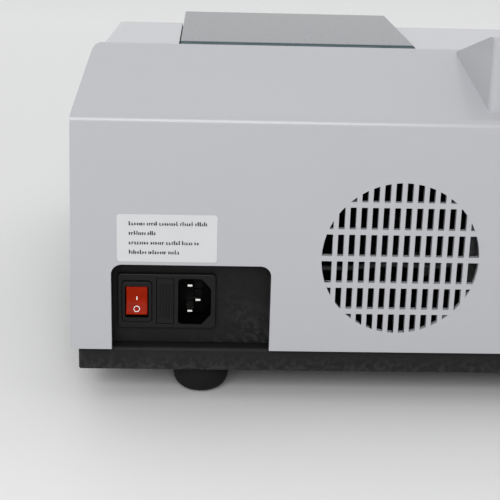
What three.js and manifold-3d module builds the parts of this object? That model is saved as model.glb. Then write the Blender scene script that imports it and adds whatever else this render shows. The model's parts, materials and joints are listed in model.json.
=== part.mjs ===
// Bench spectrophotometer: a moulded housing over a folded base plate, with a lidded sample
// compartment, a four-place cuvette carriage, a grating monochromator with a geared wavelength
// dial, a lamp and its cooling fan, and a switched and fused mains inlet in a rear recess.
// Millimetres. +X is the right-hand side seen from the front, +Y the rear, +Z up.
// The origin is on the bench, under the centre of the whole instrument's box.

import * as THREE from 'three';
import { mergeVertices } from 'three/addons/utils/BufferGeometryUtils.js';
import Module from 'manifold-3d';

const wasm = await Module();
wasm.setup();

// ---- driving dimensions ----
const BODY_W = 482;          // housing width at its lower edge
const BODY_D = 360;          // housing depth, rear wall to front wall
const KNOB_REACH = 26;       // how far the pull-rod knob stands in front of the front wall
const LABEL_T = 0.3;         // thickness of the rating label
const FOOT_SHOW = 17.6;      // foot height seen under the base skirt
const SKIRT_H = 12.4;        // height of the base plate's folded skirt
const WALL = 3;              // housing wall
const GAP = 0.3;             // clearance between neighbouring pieces
const WALL_H = 122.3;        // rear wall height, base to crease
const TOP_H = 148.5;         // top deck height over the base
const RIDGE_D = 60;          // depth from the rear wall to the ridge
const BROW_D = 140;          // depth at which the top deck turns into the front slope
const FRONT_H = 62;          // height of the front wall
const SIDE_LEAN = 2.2;       // inward draft of a side wall at the crease
const SHOULDER_IN = 9;       // inward lean of a side wall at the ridge
const DECK_IN = 16;          // the same in front of the ridge, where the deck is narrower
const STEP_D = RIDGE_D + 1;  // depth of the step between the two

const REAR = (BODY_D + KNOB_REACH - LABEL_T) / 2;
const DECK = FOOT_SHOW + SKIRT_H;

// Sample compartment and lid
const LID_X0 = 63.7;
const LID_X1 = 187;
const LID_D0 = 63.5;
const LID_D1 = 184;
const LID_RISE = 1;          // lid top above the top deck
const LID_T = 3;
const PIVOT_D = 66;          // lid hinge line, depth from the rear wall
const PIVOT_H = 145.4;       // lid hinge line, height over the base
const HINGE_R = 1.2;         // lid hinge rod radius
const WELL_FLOOR = 36;
const WELL_T = 3;
const CUVETTE = 12.6;        // pocket for a 12.5 mm square cuvette
const PITCH = 14;            // cuvette pitch, and one click of the carriage
const PLACES = 4;
const BEAM_D = 125.5;        // light beam, depth from the rear wall
const BEAM_H = 57;           // light beam, height over the base
const ROD_H = 46;            // pull-rod axis height over the base

// Rear wall features
const GRILLE_X = 73.6;
const GRILLE_H = 51.4;
const GRILLE_R = 40;
const SLOT_PITCH_X = 5.572;
const SLOT_PITCH_Z = 14.22;
const SLOT_W = 3.1;
const SLOT_H = 11.4;
const RECESS_X0 = 138.7;
const RECESS_X1 = 219.8;
const RECESS_H = 46.6;
const RECESS_DEPTH = 10;
const RECESS_CORNER = 6.5;    // reach of the curve at the recess's upper corners

// Wavelength drive, module 1 gears
const PINION_TEETH = 16;
const DIAL_TEETH = 64;
const KNOB_X = 15;

const depth = (d) => REAR - d;
const up = (h) => DECK + h;

// ---- solid helpers ----
const ALONG_X = new THREE.Matrix4().makeBasis(
  new THREE.Vector3(0, 1, 0), new THREE.Vector3(0, 0, 1), new THREE.Vector3(1, 0, 0));
const ALONG_Y = new THREE.Matrix4().makeBasis(
  new THREE.Vector3(1, 0, 0), new THREE.Vector3(0, 0, 1), new THREE.Vector3(0, -1, 0));

const MERGE_DISTANCE = 1e-4;

function toSolid(geometry) {
  const bare = geometry.clone();
  bare.deleteAttribute('normal');
  bare.deleteAttribute('uv');
  const merged = mergeVertices(bare, MERGE_DISTANCE);
  return new wasm.Manifold(new wasm.Mesh({
    numProp: 3,
    vertProperties: new Float32Array(merged.attributes.position.array),
    triVerts: Uint32Array.from(merged.index.array),
  }));
}

function toGeometry(solid) {
  const mesh = solid.getMesh();
  const geometry = new THREE.BufferGeometry();
  geometry.setAttribute('position', new THREE.BufferAttribute(mesh.vertProperties, 3));
  geometry.setIndex(new THREE.BufferAttribute(mesh.triVerts, 1));
  return geometry;
}

const join = (...parts) => parts.reduce((sum, part) => sum.add(part));
const cut = (body, ...tools) => tools.reduce((rest, tool) => rest.subtract(tool), body);

// Closed outline through corners [x, y, radius], each corner rounded by one curve.
function outline(corners) {
  const shape = new THREE.Shape();
  const count = corners.length;
  corners.forEach(([x, y, radius = 0], i) => {
    const here = new THREE.Vector2(x, y);
    const before = new THREE.Vector2(...corners[(i + count - 1) % count]);
    const after = new THREE.Vector2(...corners[(i + 1) % count]);
    const enter = before.sub(here).setLength(radius).add(here);
    const leave = after.sub(here).setLength(radius).add(here);
    if (i === 0) {
      shape.moveTo(enter.x, enter.y);
    } else {
      shape.lineTo(enter.x, enter.y);
    }
    if (radius > 0) {
      shape.quadraticCurveTo(x, y, leave.x, leave.y);
    }
  });
  shape.closePath();
  return shape;
}

// The same corners moved inwards by a wall thickness; corners run anticlockwise.
function inset(corners, wall) {
  const count = corners.length;
  return corners.map(([x, y, radius = 0], i) => {
    const here = new THREE.Vector2(x, y);
    const from = new THREE.Vector2(...corners[(i + count - 1) % count]);
    const to = new THREE.Vector2(...corners[(i + 1) % count]);
    const a = here.clone().sub(from).normalize();
    const b = to.sub(here).normalize();
    const na = new THREE.Vector2(-a.y, a.x);
    const nb = new THREE.Vector2(-b.y, b.x);
    const mitre = na.clone().add(nb).normalize();
    const reach = wall / mitre.dot(na);
    return [x + mitre.x * reach, y + mitre.y * reach, Math.max(radius - wall / 2, 0)];
  });
}

function extruded(shape, length, segments = 3) {
  const settings = { depth: length, bevelEnabled: false, curveSegments: segments };
  return new THREE.ExtrudeGeometry(shape, settings);
}

// Outline in (Y, Z) run from x0 to x1; in (X, Z) from y1 forward to y0; in (X, Y) from z0 to z1.
const runX = (shape, x0, x1, segments) =>
  toSolid(extruded(shape, x1 - x0, segments).applyMatrix4(ALONG_X).translate(x0, 0, 0));
const runY = (shape, y0, y1, segments) =>
  toSolid(extruded(shape, y1 - y0, segments).applyMatrix4(ALONG_Y).translate(0, y1, 0));
const runZ = (shape, z0, z1, segments) =>
  toSolid(extruded(shape, z1 - z0, segments).translate(0, 0, z0));

const boxGeometry = (x0, x1, y0, y1, z0, z1) =>
  new THREE.BoxGeometry(x1 - x0, y1 - y0, z1 - z0)
    .translate((x0 + x1) / 2, (y0 + y1) / 2, (z0 + z1) / 2);
const box = (...limits) => toSolid(boxGeometry(...limits));

// Round bars along each axis, from one end to the other.
const barGeometryY = (x, z, radius, y0, y1, sides = 16) =>
  new THREE.CylinderGeometry(radius, radius, y1 - y0, sides).translate(x, (y0 + y1) / 2, z);
const barY = (...sizes) => toSolid(barGeometryY(...sizes));
const barX = (y, z, radius, x0, x1, sides = 16) =>
  toSolid(new THREE.CylinderGeometry(radius, radius, x1 - x0, sides)
    .rotateZ(-Math.PI / 2).translate((x0 + x1) / 2, y, z));
const barGeometryZ = (x, y, radius, z0, z1, sides = 16) =>
  new THREE.CylinderGeometry(radius, radius, z1 - z0, sides)
    .rotateX(Math.PI / 2).translate(x, y, (z0 + z1) / 2);
const barZ = (...sizes) => toSolid(barGeometryZ(...sizes));

// Pieces turned from [radius, position] steps that start and end on the axis, or close on themselves.
const turnedY = (steps, sides = 24) =>
  new THREE.LatheGeometry(steps.map(([r, at]) => new THREE.Vector2(r, at)), sides);
const turned = (steps, sides) => turnedY(steps, sides).rotateX(Math.PI / 2);

// A round lead along a smooth curve through points.
function lead(points, radius, steps) {
  const ring = new THREE.Shape();
  ring.absarc(0, 0, radius, 0, Math.PI * 2);
  const route = new THREE.CatmullRomCurve3(points.map((point) => new THREE.Vector3(...point)));
  return new THREE.ExtrudeGeometry(ring, { steps, extrudePath: route, curveSegments: 8 });
}

const roundRect = (x0, x1, y0, y1, radius) =>
  outline([[x0, y0, radius], [x1, y0, radius], [x1, y1, radius], [x0, y1, radius]]);

// ---- finishes ----
const finish = (color, roughness, metalness = 0) => ({ color, roughness, metalness });
const SHELL_GREY = finish(0xb9bbc0, 0.45);
const LID_GREY = finish(0xa6a9af, 0.4);
const BLACK_PAINT = finish(0x26272a, 0.6);
const BLACK_PLASTIC = finish(0x1b1c1e, 0.45);
const RUBBER = finish(0x141414, 0.85);
const STEEL = finish(0xb8bcc0, 0.35, 1);
const BRASS = finish(0xc2a25a, 0.35, 1);
const ALUMINIUM = finish(0xc4c7ca, 0.4, 1);
const GLASS = finish(0xdfe8ea, 0.05);
const CERAMIC = finish(0xe9e6dc, 0.6);

const instrument = new THREE.Group();

function piece(name, shape, look, parent = instrument) {
  const geometry = shape.isBufferGeometry ? shape : toGeometry(shape);
  const mesh = new THREE.Mesh(geometry, new THREE.MeshStandardMaterial(look));
  mesh.name = name;
  parent.add(mesh);
  return mesh;
}

// ---- the front slope's own frame: x across, y up the slope, z out of it ----
const SLOPE = Math.atan2(TOP_H - FRONT_H, BODY_D - BROW_D);
const slopeFrame = new THREE.Group();
slopeFrame.position.set(0, depth((BODY_D + BROW_D) / 2), up((TOP_H + FRONT_H) / 2));
slopeFrame.rotation.x = SLOPE;
slopeFrame.updateMatrix();
instrument.add(slopeFrame);
const onSlope = (geometry) => toSolid(geometry.applyMatrix4(slopeFrame.matrix));

// ---- upper housing ----
// Side profile, (Y, Z), anticlockwise.
const bodyProfile = [
  [depth(BODY_D), up(GAP), 0],
  [depth(0), up(GAP), 0],
  [depth(0), up(WALL_H), 3.5],
  [depth(RIDGE_D), up(TOP_H), 3],
  [depth(BROW_D), up(TOP_H), 6],
  [depth(BODY_D), up(FRONT_H), 6],
];
// Front outline, (X, Z), anticlockwise: drafted sides, shoulders leaning in, rounded top edges.
const half = BODY_W / 2;
const bodyOutline = (lean, corner) => [
  [-half, up(GAP), 0],
  [half, up(GAP), 0],
  [half - SIDE_LEAN, up(WALL_H), 4],
  [half - lean, up(TOP_H), corner],
  [lean - half, up(TOP_H), corner],
  [SIDE_LEAN - half, up(WALL_H), 4],
];
const rearOutline = bodyOutline(SHOULDER_IN, 4);
const deckOutline = bodyOutline(DECK_IN, 2);
// Raised hump over the monochromator: its top falls towards the front, its flanks flare forward.
const HUMP = { x: -74, rearHalf: 107, frontHalf: 116, rearD: 8, frontD: 55, top: 164.5 };
const humpProfile = [
  [depth(HUMP.frontD), up(TOP_H - 20), 0],
  [depth(HUMP.rearD), up(WALL_H - 8), 0],
  [depth(HUMP.rearD), up(HUMP.top), 5],
  [depth(HUMP.frontD), up(TOP_H), 0],
];
const humpPlan = [
  [HUMP.x - HUMP.frontHalf, depth(HUMP.frontD), 0],
  [HUMP.x + HUMP.frontHalf, depth(HUMP.frontD), 0],
  [HUMP.x + HUMP.rearHalf, depth(HUMP.rearD), 4],
  [HUMP.x - HUMP.rearHalf, depth(HUMP.rearD), 4],
];

function bodyForm(wall) {
  const side = runX(outline(inset(bodyProfile, wall)), -half, half);
  const front = runY(outline(inset(deckOutline, wall)), depth(BODY_D), depth(0));
  const rear = runY(outline(inset(rearOutline, wall)), depth(STEP_D - wall), depth(0));
  return side.intersect(join(front, rear));
}

function humpForm(wall) {
  const side = runX(outline(inset(humpProfile, wall)), -half, half);
  const plan = runZ(outline(inset(humpPlan, wall)), up(0), up(TOP_H + 40));
  return side.intersect(plan);
}

// Six rows of upright slots trimmed to the vent's circle; the middle rows' end slots run out to it.
function grilleSlots() {
  const slots = [];
  const columns = Math.ceil(GRILLE_R / SLOT_PITCH_X);
  const smallest = 1.5;
  for (let row = -3; row < 3; row += 1) {
    const dz = (row + 0.5) * SLOT_PITCH_Z;
    for (let column = -columns; column < columns; column += 1) {
      const dx = (column + 0.5) * SLOT_PITCH_X;
      const inner = Math.abs(dx) - SLOT_W / 2;
      if (Math.hypot(inner, Math.abs(dz) - SLOT_H / 2) < GRILLE_R - smallest) {
        const last = Math.abs(dz) < SLOT_PITCH_Z && inner + SLOT_PITCH_X > GRILLE_R;
        const outer = last ? GRILLE_R : inner + SLOT_W;
        const ends = [GRILLE_X + Math.sign(dx) * inner, GRILLE_X + Math.sign(dx) * outer];
        slots.push(box(Math.min(...ends), Math.max(...ends), depth(WALL + 2), depth(-2),
          up(GRILLE_H) + dz - SLOT_H / 2, up(GRILLE_H) + dz + SLOT_H / 2));
      }
    }
  }
  const rim = barY(GRILLE_X, up(GRILLE_H), GRILLE_R, depth(WALL + 4), depth(-4), 48);
  return join(...slots).intersect(rim);
}

const PANEL = { x0: -200, x1: -22, y0: -30, y1: 72, sink: 1.2, ledge: 8 };
const WINDOW = { x0: -176, x1: -86, y0: 22, y1: 52 };
const KEY = { w: 17, h: 11, y: -8, travel: 1.2, stand: 1.4 };
const keyXs = [-170, -138, -106, -74];
const DIAL_Y = 6;
const CENTRES = (PINION_TEETH + DIAL_TEETH) / 2;
const KNOB_Y = DIAL_Y - CENTRES;
const DIAL_WINDOW = { w: 26, h: 11, y: DIAL_Y + 23 };
const SCREW_POSTS = [[228, 22], [-228, 22], [228, 338], [-228, 338]];
const POST_R = 5;
const POST_H = 30;

function housing() {
  const shell = cut(join(bodyForm(0), humpForm(0)), bodyForm(WALL), humpForm(WALL),
    box(WALL - half, half - WALL, depth(BODY_D - WALL), depth(WALL), up(-5), up(20)));
  const recess = runY(outline([
    [RECESS_X0, up(-5)], [RECESS_X1, up(-5)],
    [RECESS_X1, up(RECESS_H), RECESS_CORNER], [RECESS_X0, up(RECESS_H), RECESS_CORNER],
  ]), depth(WALL + 2), depth(-2), 4);
  const lidMouth = box(LID_X0 - 0.8, LID_X1 + 0.8, depth(LID_D1 + 1), depth(LID_D0 - 2.5),
    up(FRONT_H), up(TOP_H + 10));
  const rodHole = barY((LID_X0 + LID_X1) / 2, up(ROD_H), 7, depth(BODY_D + 3), depth(BODY_D - 8));
  const panelSeat = onSlope(boxGeometry(PANEL.x0 - GAP, PANEL.x1 + GAP, PANEL.y0 - GAP,
    PANEL.y1 + GAP, -PANEL.sink - GAP, 5));
  const panelHole = onSlope(boxGeometry(PANEL.x0 + PANEL.ledge, PANEL.x1 - PANEL.ledge,
    PANEL.y0 + PANEL.ledge, PANEL.y1 - PANEL.ledge, -10, 5));
  const dialHole = onSlope(boxGeometry(KNOB_X - DIAL_WINDOW.w / 2, KNOB_X + DIAL_WINDOW.w / 2,
    DIAL_WINDOW.y - DIAL_WINDOW.h / 2, DIAL_WINDOW.y + DIAL_WINDOW.h / 2, -10, 5));
  const shaftHole = onSlope(barGeometryZ(KNOB_X, KNOB_Y, 4.5, -10, 5));
  const posts = SCREW_POSTS.map(([x, d]) => {
    const out = Math.sign(x) * (half - WALL + 1);
    const rear = d < BODY_D / 2 ? depth(WALL - 0.5) : depth(d);
    const front = d < BODY_D / 2 ? depth(d) : depth(BODY_D - WALL + 0.5);
    const pillar = barZ(x, depth(d), POST_R, up(GAP), up(POST_H));
    const ribX = box(Math.min(x, out), Math.max(x, out), depth(d) - 1, depth(d) + 1, up(GAP), up(POST_H));
    const ribY = box(x - 1, x + 1, front, rear, up(GAP), up(POST_H));
    return cut(join(pillar, ribX, ribY), barZ(x, depth(d), 2, up(-1), up(20)));
  });
  const open = cut(shell, recess, lidMouth, rodHole, panelSeat, panelHole, dialHole, shaftHole,
    grilleSlots());
  return join(open, ...posts);
}
piece('upper_housing', housing(), SHELL_GREY);

// ---- base plate and feet ----
const BASE_IN = 3.6;          // how far the skirt stands inside the housing's lower edge
const BASE_CORNER = 1.8;
const PLATE_T = 2.5;
const baseX = half - BASE_IN;
const base = cut(
  runZ(roundRect(-baseX, baseX, depth(BODY_D - BASE_IN), depth(BASE_IN), BASE_CORNER), FOOT_SHOW, DECK),
  box(PLATE_T - baseX, baseX - PLATE_T, depth(BODY_D - BASE_IN - PLATE_T), depth(BASE_IN + PLATE_T),
    FOOT_SHOW - 1, DECK - PLATE_T),
  ...SCREW_POSTS.map(([x, d]) => barZ(x, depth(d), 2.3, FOOT_SHOW, DECK + 1)),
);
piece('base_plate', base, BLACK_PAINT);

// Bowl-shaped feet: a flat pad, a wide curve and a nearly straight wall up into the base plate.
const footProfile = [[0, 0], [7.5, 0], [10, 0.9], [12, 2.8], [13.6, 6], [14.6, 11],
  [15, FOOT_SHOW], [15, DECK - PLATE_T], [0, DECK - PLATE_T]];
const FOOT_X = 174;
const FOOT_DEPTHS = { rear: 24, front: 332 };
Object.entries(FOOT_DEPTHS).forEach(([end, d]) => {
  piece(`foot_${end}_right`, turned(footProfile, 24), RUBBER).position.set(FOOT_X, depth(d), 0);
  piece(`foot_${end}_left`, turned(footProfile, 24), RUBBER).position.set(-FOOT_X, depth(d), 0);
});

const screwProfile = [[0, -2.4], [3.6, -2.4], [3.6, -GAP], [1.6, -GAP], [1.6, 14], [0, 14]];
SCREW_POSTS.forEach(([x, d], i) => {
  piece(`housing_screw_${i + 1}`, turned(screwProfile, 10), STEEL)
    .position.set(x, depth(d), DECK - PLATE_T);
});

// ---- rear power panel with the switched, fused inlet ----
const recessWall = 2.2;
const recessShell = (grow, foot, front, back) => runY(outline([
  [RECESS_X0 - grow, up(foot)], [RECESS_X1 + grow, up(foot)],
  [RECESS_X1 + grow, up(RECESS_H + grow), RECESS_CORNER + grow],
  [RECESS_X0 - grow, up(RECESS_H + grow), RECESS_CORNER + grow],
]), depth(front), depth(back), 4);
const INLET = { x0: 166.5, x1: 217.2, h0: 9.3, h1: 39.2, face: 7.2 };
const MODULE = { x0: 168.0, x1: 215.8, h0: 10.6, h1: 37.9, deep: 36 };
const powerPanel = cut(
  recessShell(recessWall, GAP, RECESS_DEPTH + 2, WALL + GAP),
  recessShell(0, GAP - 2, RECESS_DEPTH, WALL - 2),
  box(MODULE.x0 - GAP, MODULE.x1 + GAP, depth(RECESS_DEPTH + 5), depth(0),
    up(MODULE.h0 - GAP), up(MODULE.h1 + GAP)),
);
piece('rear_power_panel', powerPanel, BLACK_PAINT);

const SWITCH = { x0: 199.6, x1: 214.8, h0: 13.2, h1: 35.2 };
const ROCKER = { x0: 201.7, x1: 212.7, h0: 16.1, h1: 32.1 };
const DRAWER = { x0: 188.3, x1: 197.0, h0: 12.1, h1: 36.5 };
const SOCKET = { x0: 169.0, x1: 186.0, h0: 11.8, h1: 36.7 };
const socketShape = outline([
  [SOCKET.x0, up(SOCKET.h0 + 5.5)], [SOCKET.x0 + 4.8, up(SOCKET.h0)],
  [SOCKET.x1, up(SOCKET.h0)], [SOCKET.x1, up(SOCKET.h1)],
  [SOCKET.x0 + 4.8, up(SOCKET.h1)], [SOCKET.x0, up(SOCKET.h1 - 5.5)],
]);
const SOCKET_DEEP = 17;
const switchCollar = runY(roundRect(SWITCH.x0, SWITCH.x1, up(SWITCH.h0), up(SWITCH.h1), 2),
  depth(INLET.face + 1), depth(INLET.face - 1));
const PIN = { w: 4, t: 2, root: 41 };
const MID_H = (SOCKET.h0 + SOCKET.h1) / 2;
// Each blade's place and how far its tip stands behind the module's face; the earth blade leads.
const PINS = {
  inlet_pin_live: [180, MID_H + 7, 5],
  inlet_pin_neutral: [180, MID_H - 7, 5],
  inlet_pin_earth: [175.8, MID_H, 2.8],
};
const pinBlade = (x, h, grow, front, back) => box(x - PIN.w / 2 - grow, x + PIN.w / 2 + grow,
  depth(back), depth(front), up(h) - PIN.t / 2 - grow, up(h) + PIN.t / 2 + grow);
const inletHousing = cut(
  join(
    runY(roundRect(INLET.x0, INLET.x1, up(INLET.h0), up(INLET.h1), 2), depth(RECESS_DEPTH - GAP),
      depth(INLET.face)),
    box(MODULE.x0, MODULE.x1, depth(MODULE.deep), depth(INLET.face + 1), up(MODULE.h0), up(MODULE.h1)),
    switchCollar,
  ),
  runY(socketShape, depth(INLET.face + SOCKET_DEEP), depth(INLET.face - 3)),
  box(ROCKER.x0 - 0.5, ROCKER.x1 + 0.5, depth(MODULE.deep - 3), depth(INLET.face - 3),
    up(ROCKER.h0 - 0.8), up(ROCKER.h1 + 0.8)),
  box(DRAWER.x0 - GAP, DRAWER.x1 + GAP, depth(MODULE.deep - 3), depth(INLET.face - 3),
    up(DRAWER.h0 - GAP), up(DRAWER.h1 + GAP)),
  ...Object.values(PINS).map(([x, h]) =>
    pinBlade(x, h, GAP, INLET.face + SOCKET_DEEP - 1, MODULE.deep + 1)),
);
piece('inlet_housing', inletHousing, BLACK_PLASTIC);
Object.entries(PINS).forEach(([name, [x, h, tip]]) => {
  piece(name, pinBlade(x, h, 0, INLET.face + tip, PIN.root), STEEL);
});

// Rocker: a cradle shape with two pads at an angle, rest position with the upper pad pressed.
const ROCKER_TILT = THREE.MathUtils.degToRad(10);
const ROCKER_PIVOT_D = INLET.face + 3.5;
const rockerMid = (ROCKER.h0 + ROCKER.h1) / 2;
const rockerHalf = (ROCKER.h1 - ROCKER.h0) / 2;
const rockerShape = outline([
  [-7, -3], [1.4, -rockerHalf + 0.6, 0.6], [4.9, -rockerHalf + 0.9, 0.6], [2.9, 0, 1.5],
  [4.9, rockerHalf - 0.9, 0.6], [1.4, rockerHalf - 0.6, 0.6], [-7, 3],
]);
const rocker = piece('power_rocker', runX(rockerShape, -5.5, 5.5), finish(0x962616, 0.35));
rocker.position.set((ROCKER.x0 + ROCKER.x1) / 2, depth(ROCKER_PIVOT_D), up(rockerMid));
rocker.rotation.x = ROCKER_TILT;

const drawerMid = (DRAWER.x0 + DRAWER.x1) / 2;
const RIB_PITCH = 1.5;
const drawerRibs = [-2, -1, 0, 1, 2].map((step) => {
  const x = drawerMid + step * RIB_PITCH;
  return box(x - RIB_PITCH / 4, x + RIB_PITCH / 4, depth(INLET.face + 0.5), depth(INLET.face - 0.7),
    up(DRAWER.h0 + 3), up(DRAWER.h1 - 3));
});
const FUSE_D = INLET.face + 12;
const FUSE_R = 2.6;
const drawerBody = box(DRAWER.x0, DRAWER.x1, depth(INLET.face + 24), depth(INLET.face),
  up(DRAWER.h0), up(DRAWER.h1));
const drawer = cut(
  join(drawerBody, ...drawerRibs),
  box(DRAWER.x0 + 1.4, DRAWER.x1 + 1, depth(FUSE_D + 4), depth(FUSE_D - 4), up(DRAWER.h0 + 1.6),
    up(DRAWER.h1 - 1.6)),
);
piece('fuse_drawer', drawer, BLACK_PLASTIC);
piece('fuse', barGeometryZ(0, 0, FUSE_R, -10, 10), GLASS)
  .position.set(drawerMid + 0.5, depth(FUSE_D), up((DRAWER.h0 + DRAWER.h1) / 2));

const LABEL = roundRect(166.4, 216.6, up(48.4), up(73.3), 1.5);
piece('rating_label', runY(LABEL, depth(0), depth(-LABEL_T)), finish(0xe6e6e6, 0.5));

// ---- sample compartment lid, seal and hinge ----
const slopeFall = (d) => Math.max(0, (d - BROW_D) * Math.tan(SLOPE));
const LID_DROP = 7;
const lidEdge = (d, drop) => up(TOP_H - drop - slopeFall(d));
const lidOuter = [
  [depth(LID_D1), lidEdge(LID_D1, LID_DROP)],
  [depth(BROW_D), lidEdge(BROW_D, LID_DROP)],
  [depth(LID_D0), lidEdge(LID_D0, LID_DROP)],
  [depth(LID_D0), up(TOP_H + LID_RISE), 1.5],
  [depth(LID_D1), up(TOP_H + LID_RISE), 2.5],
];
const lidInner = outline([
  [depth(LID_D1 - LID_T), up(TOP_H - 60)],
  [depth(LID_D0 - 1), up(TOP_H - 60)],
  [depth(LID_D0 - 1), up(TOP_H + LID_RISE - LID_T)],
  [depth(LID_D1 - LID_T), up(TOP_H + LID_RISE - LID_T)],
]);
const EAR = { r: 2.5, w: 5, in: 12 };
const earXs = [LID_X0 + EAR.in, LID_X1 - EAR.in - EAR.w];
const knuckle = (x0, x1) => barX(depth(PIVOT_D), up(PIVOT_H), 2.9, x0, x1, 20);
const lid = cut(
  join(
    cut(runX(outline(lidOuter), LID_X0, LID_X1), runX(lidInner, LID_X0 + LID_T, LID_X1 - LID_T)),
    knuckle(LID_X0 + 20, LID_X0 + 30), knuckle(LID_X1 - 30, LID_X1 - 20),
  ),
  barX(depth(PIVOT_D), up(PIVOT_H), HINGE_R + GAP, LID_X0 + 5, LID_X1 - 5, 20),
  ...earXs.map((x) => box(x - 1, x + EAR.w + 1, depth(PIVOT_D + 7), depth(LID_D0 - 1),
    up(PIVOT_H - 8), up(PIVOT_H + EAR.r + GAP))),
);
piece('compartment_lid', lid, LID_GREY);
piece('lid_hinge_rod', barX(depth(PIVOT_D), up(PIVOT_H), HINGE_R, LID_X0 + 8, LID_X1 - 8, 16), STEEL);

const WELL = { x0: LID_X0 + 1.3, x1: LID_X1 - 1.4, d0: LID_D0 + 8, d1: LID_D1 - 2, drop: 9.5 };
const wellOuter = outline([
  [depth(WELL.d1), up(WELL_FLOOR - WELL_T), 3], [depth(WELL.d0), up(WELL_FLOOR - WELL_T), 3],
  [depth(WELL.d0), lidEdge(WELL.d0, WELL.drop)], [depth(BROW_D), lidEdge(BROW_D, WELL.drop)],
  [depth(WELL.d1), lidEdge(WELL.d1, WELL.drop)],
]);
const wellMid = (LID_X0 + LID_X1) / 2;
// Each ear leans back from the well's rear wall to the hinge line.
const earStem = outline([
  [depth(WELL.d0 + WELL_T), up(PIVOT_H - 15)], [depth(WELL.d0), up(PIVOT_H - 15)],
  [depth(PIVOT_D - 2.3), up(PIVOT_H - 1)], [depth(PIVOT_D + 2.3), up(PIVOT_H + 1)],
  [depth(WELL.d0 + WELL_T), up(PIVOT_H - 10)],
]);
const wellEars = earXs.map((x) => cut(
  join(runX(earStem, x, x + EAR.w), barX(depth(PIVOT_D), up(PIVOT_H), EAR.r, x, x + EAR.w, 20)),
  barX(depth(PIVOT_D), up(PIVOT_H), HINGE_R + GAP, x - 1, x + EAR.w + 1, 20),
));
const well = cut(
  join(
    cut(runX(wellOuter, WELL.x0, WELL.x1),
      box(WELL.x0 + WELL_T, WELL.x1 - WELL_T, depth(WELL.d1 - WELL_T), depth(WELL.d0 + WELL_T),
        up(WELL_FLOOR), up(TOP_H + 20))),
    ...wellEars,
  ),
  barX(depth(BEAM_D), up(BEAM_H), 6, WELL.x0 - 1, WELL.x1 + 1, 20),
  barY(wellMid, up(ROD_H), 3.4, depth(WELL.d1 + 1), depth(WELL.d1 - 5), 20),
  barY(wellMid - 20, up(WELL_FLOOR + 9), 2.6, depth(WELL.d1 + 1), depth(WELL.d0 - 1), 16),
);
piece('sample_well', well, BLACK_PLASTIC);

const sealLine = (drop) => [
  [depth(WELL.d1), lidEdge(WELL.d1, drop)], [depth(BROW_D), lidEdge(BROW_D, drop)],
  [depth(WELL.d0), lidEdge(WELL.d0, drop)],
];
const sealBand = outline([...sealLine(WELL.drop - GAP), ...sealLine(LID_DROP + 0.7).reverse()]);
const seal = cut(runX(sealBand, WELL.x0, WELL.x1),
  box(WELL.x0 + WELL_T, WELL.x1 - WELL_T, depth(WELL.d1 - WELL_T), depth(WELL.d0 + WELL_T),
    up(TOP_H - 60), up(TOP_H + 20)),
  ...earXs.map((x) => box(x - GAP, x + EAR.w + GAP, depth(WELL.d0 + 1.2), depth(WELL.d0 - 1),
    up(TOP_H - 20), up(TOP_H))));
piece('lid_seal', seal, RUBBER);

// ---- cuvette carriage on its guide rod, with the pull rod ----
const CARRIAGE_D0 = WELL.d0 + WELL_T + 1;
const CARRIAGE_L = PLACES * PITCH + 2;
const CARRIAGE = { x: wellMid, w: 26, h0: WELL_FLOOR + 3, h1: WELL_FLOOR + 36 };
const placeDepth = (place) => CARRIAGE_D0 + 1 + PITCH * (place + 0.5);
const pockets = Array.from({ length: PLACES }, (_, place) => {
  const y = depth(placeDepth(place));
  const x = CARRIAGE.x;
  return join(
    box(x - CUVETTE / 2, x + CUVETTE / 2, y - CUVETTE / 2, y + CUVETTE / 2,
      up(CARRIAGE.h0 + 11), up(CARRIAGE.h1 + 1)),
    box(x - CARRIAGE.w, x + CARRIAGE.w, y - 2.5, y + 2.5, up(BEAM_H - 5), up(CARRIAGE.h1 + 1)),
  );
});
const guideX = wellMid - 20;
const guideH = up(WELL_FLOOR + 9);
const carriageFoot = box(wellMid - 28, wellMid + 13, depth(CARRIAGE_D0 + CARRIAGE_L),
  depth(CARRIAGE_D0), up(CARRIAGE.h0), up(CARRIAGE.h0 + 9));
const carriage = cut(
  join(
    box(CARRIAGE.x - CARRIAGE.w / 2, CARRIAGE.x + CARRIAGE.w / 2, depth(CARRIAGE_D0 + CARRIAGE_L),
      depth(CARRIAGE_D0), up(CARRIAGE.h0), up(CARRIAGE.h1)),
    carriageFoot,
  ),
  ...pockets,
  barY(guideX, guideH, 2.55, depth(CARRIAGE_D0 + CARRIAGE_L + 1), depth(CARRIAGE_D0 - 1), 16),
);
piece('cuvette_carriage', carriage, BLACK_PLASTIC);
const guideRod = barGeometryY(guideX, guideH, 2.2, depth(WELL.d1 - 0.5), depth(WELL.d0 + 0.5));
piece('guide_rod', guideRod, STEEL);

const rodStart = CARRIAGE_D0 + CARRIAGE_L + GAP;
piece('pull_rod', barGeometryY(wellMid, up(ROD_H), 3, depth(BODY_D + 12), depth(rodStart)), STEEL);
const knobProfile = [[0, -KNOB_REACH], [7.6, -KNOB_REACH], [9, -KNOB_REACH + 1.6], [9, -12], [6.5, -8],
  [6.5, -4], [3.4, -4], [3.4, -13], [0, -13]];
piece('pull_rod_knob', turnedY(knobProfile, 20), BLACK_PLASTIC)
  .position.set(wellMid, depth(BODY_D), up(ROD_H));
const bushProfile = [[3.4, -2.2], [9.5, -2.2], [9.5, -GAP], [6.6, -GAP], [6.6, 8], [3.4, 8], [3.4, -2.2]];
piece('rod_bushing', turnedY(bushProfile, 16), BLACK_PLASTIC)
  .position.set(wellMid, depth(BODY_D), up(ROD_H));

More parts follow.
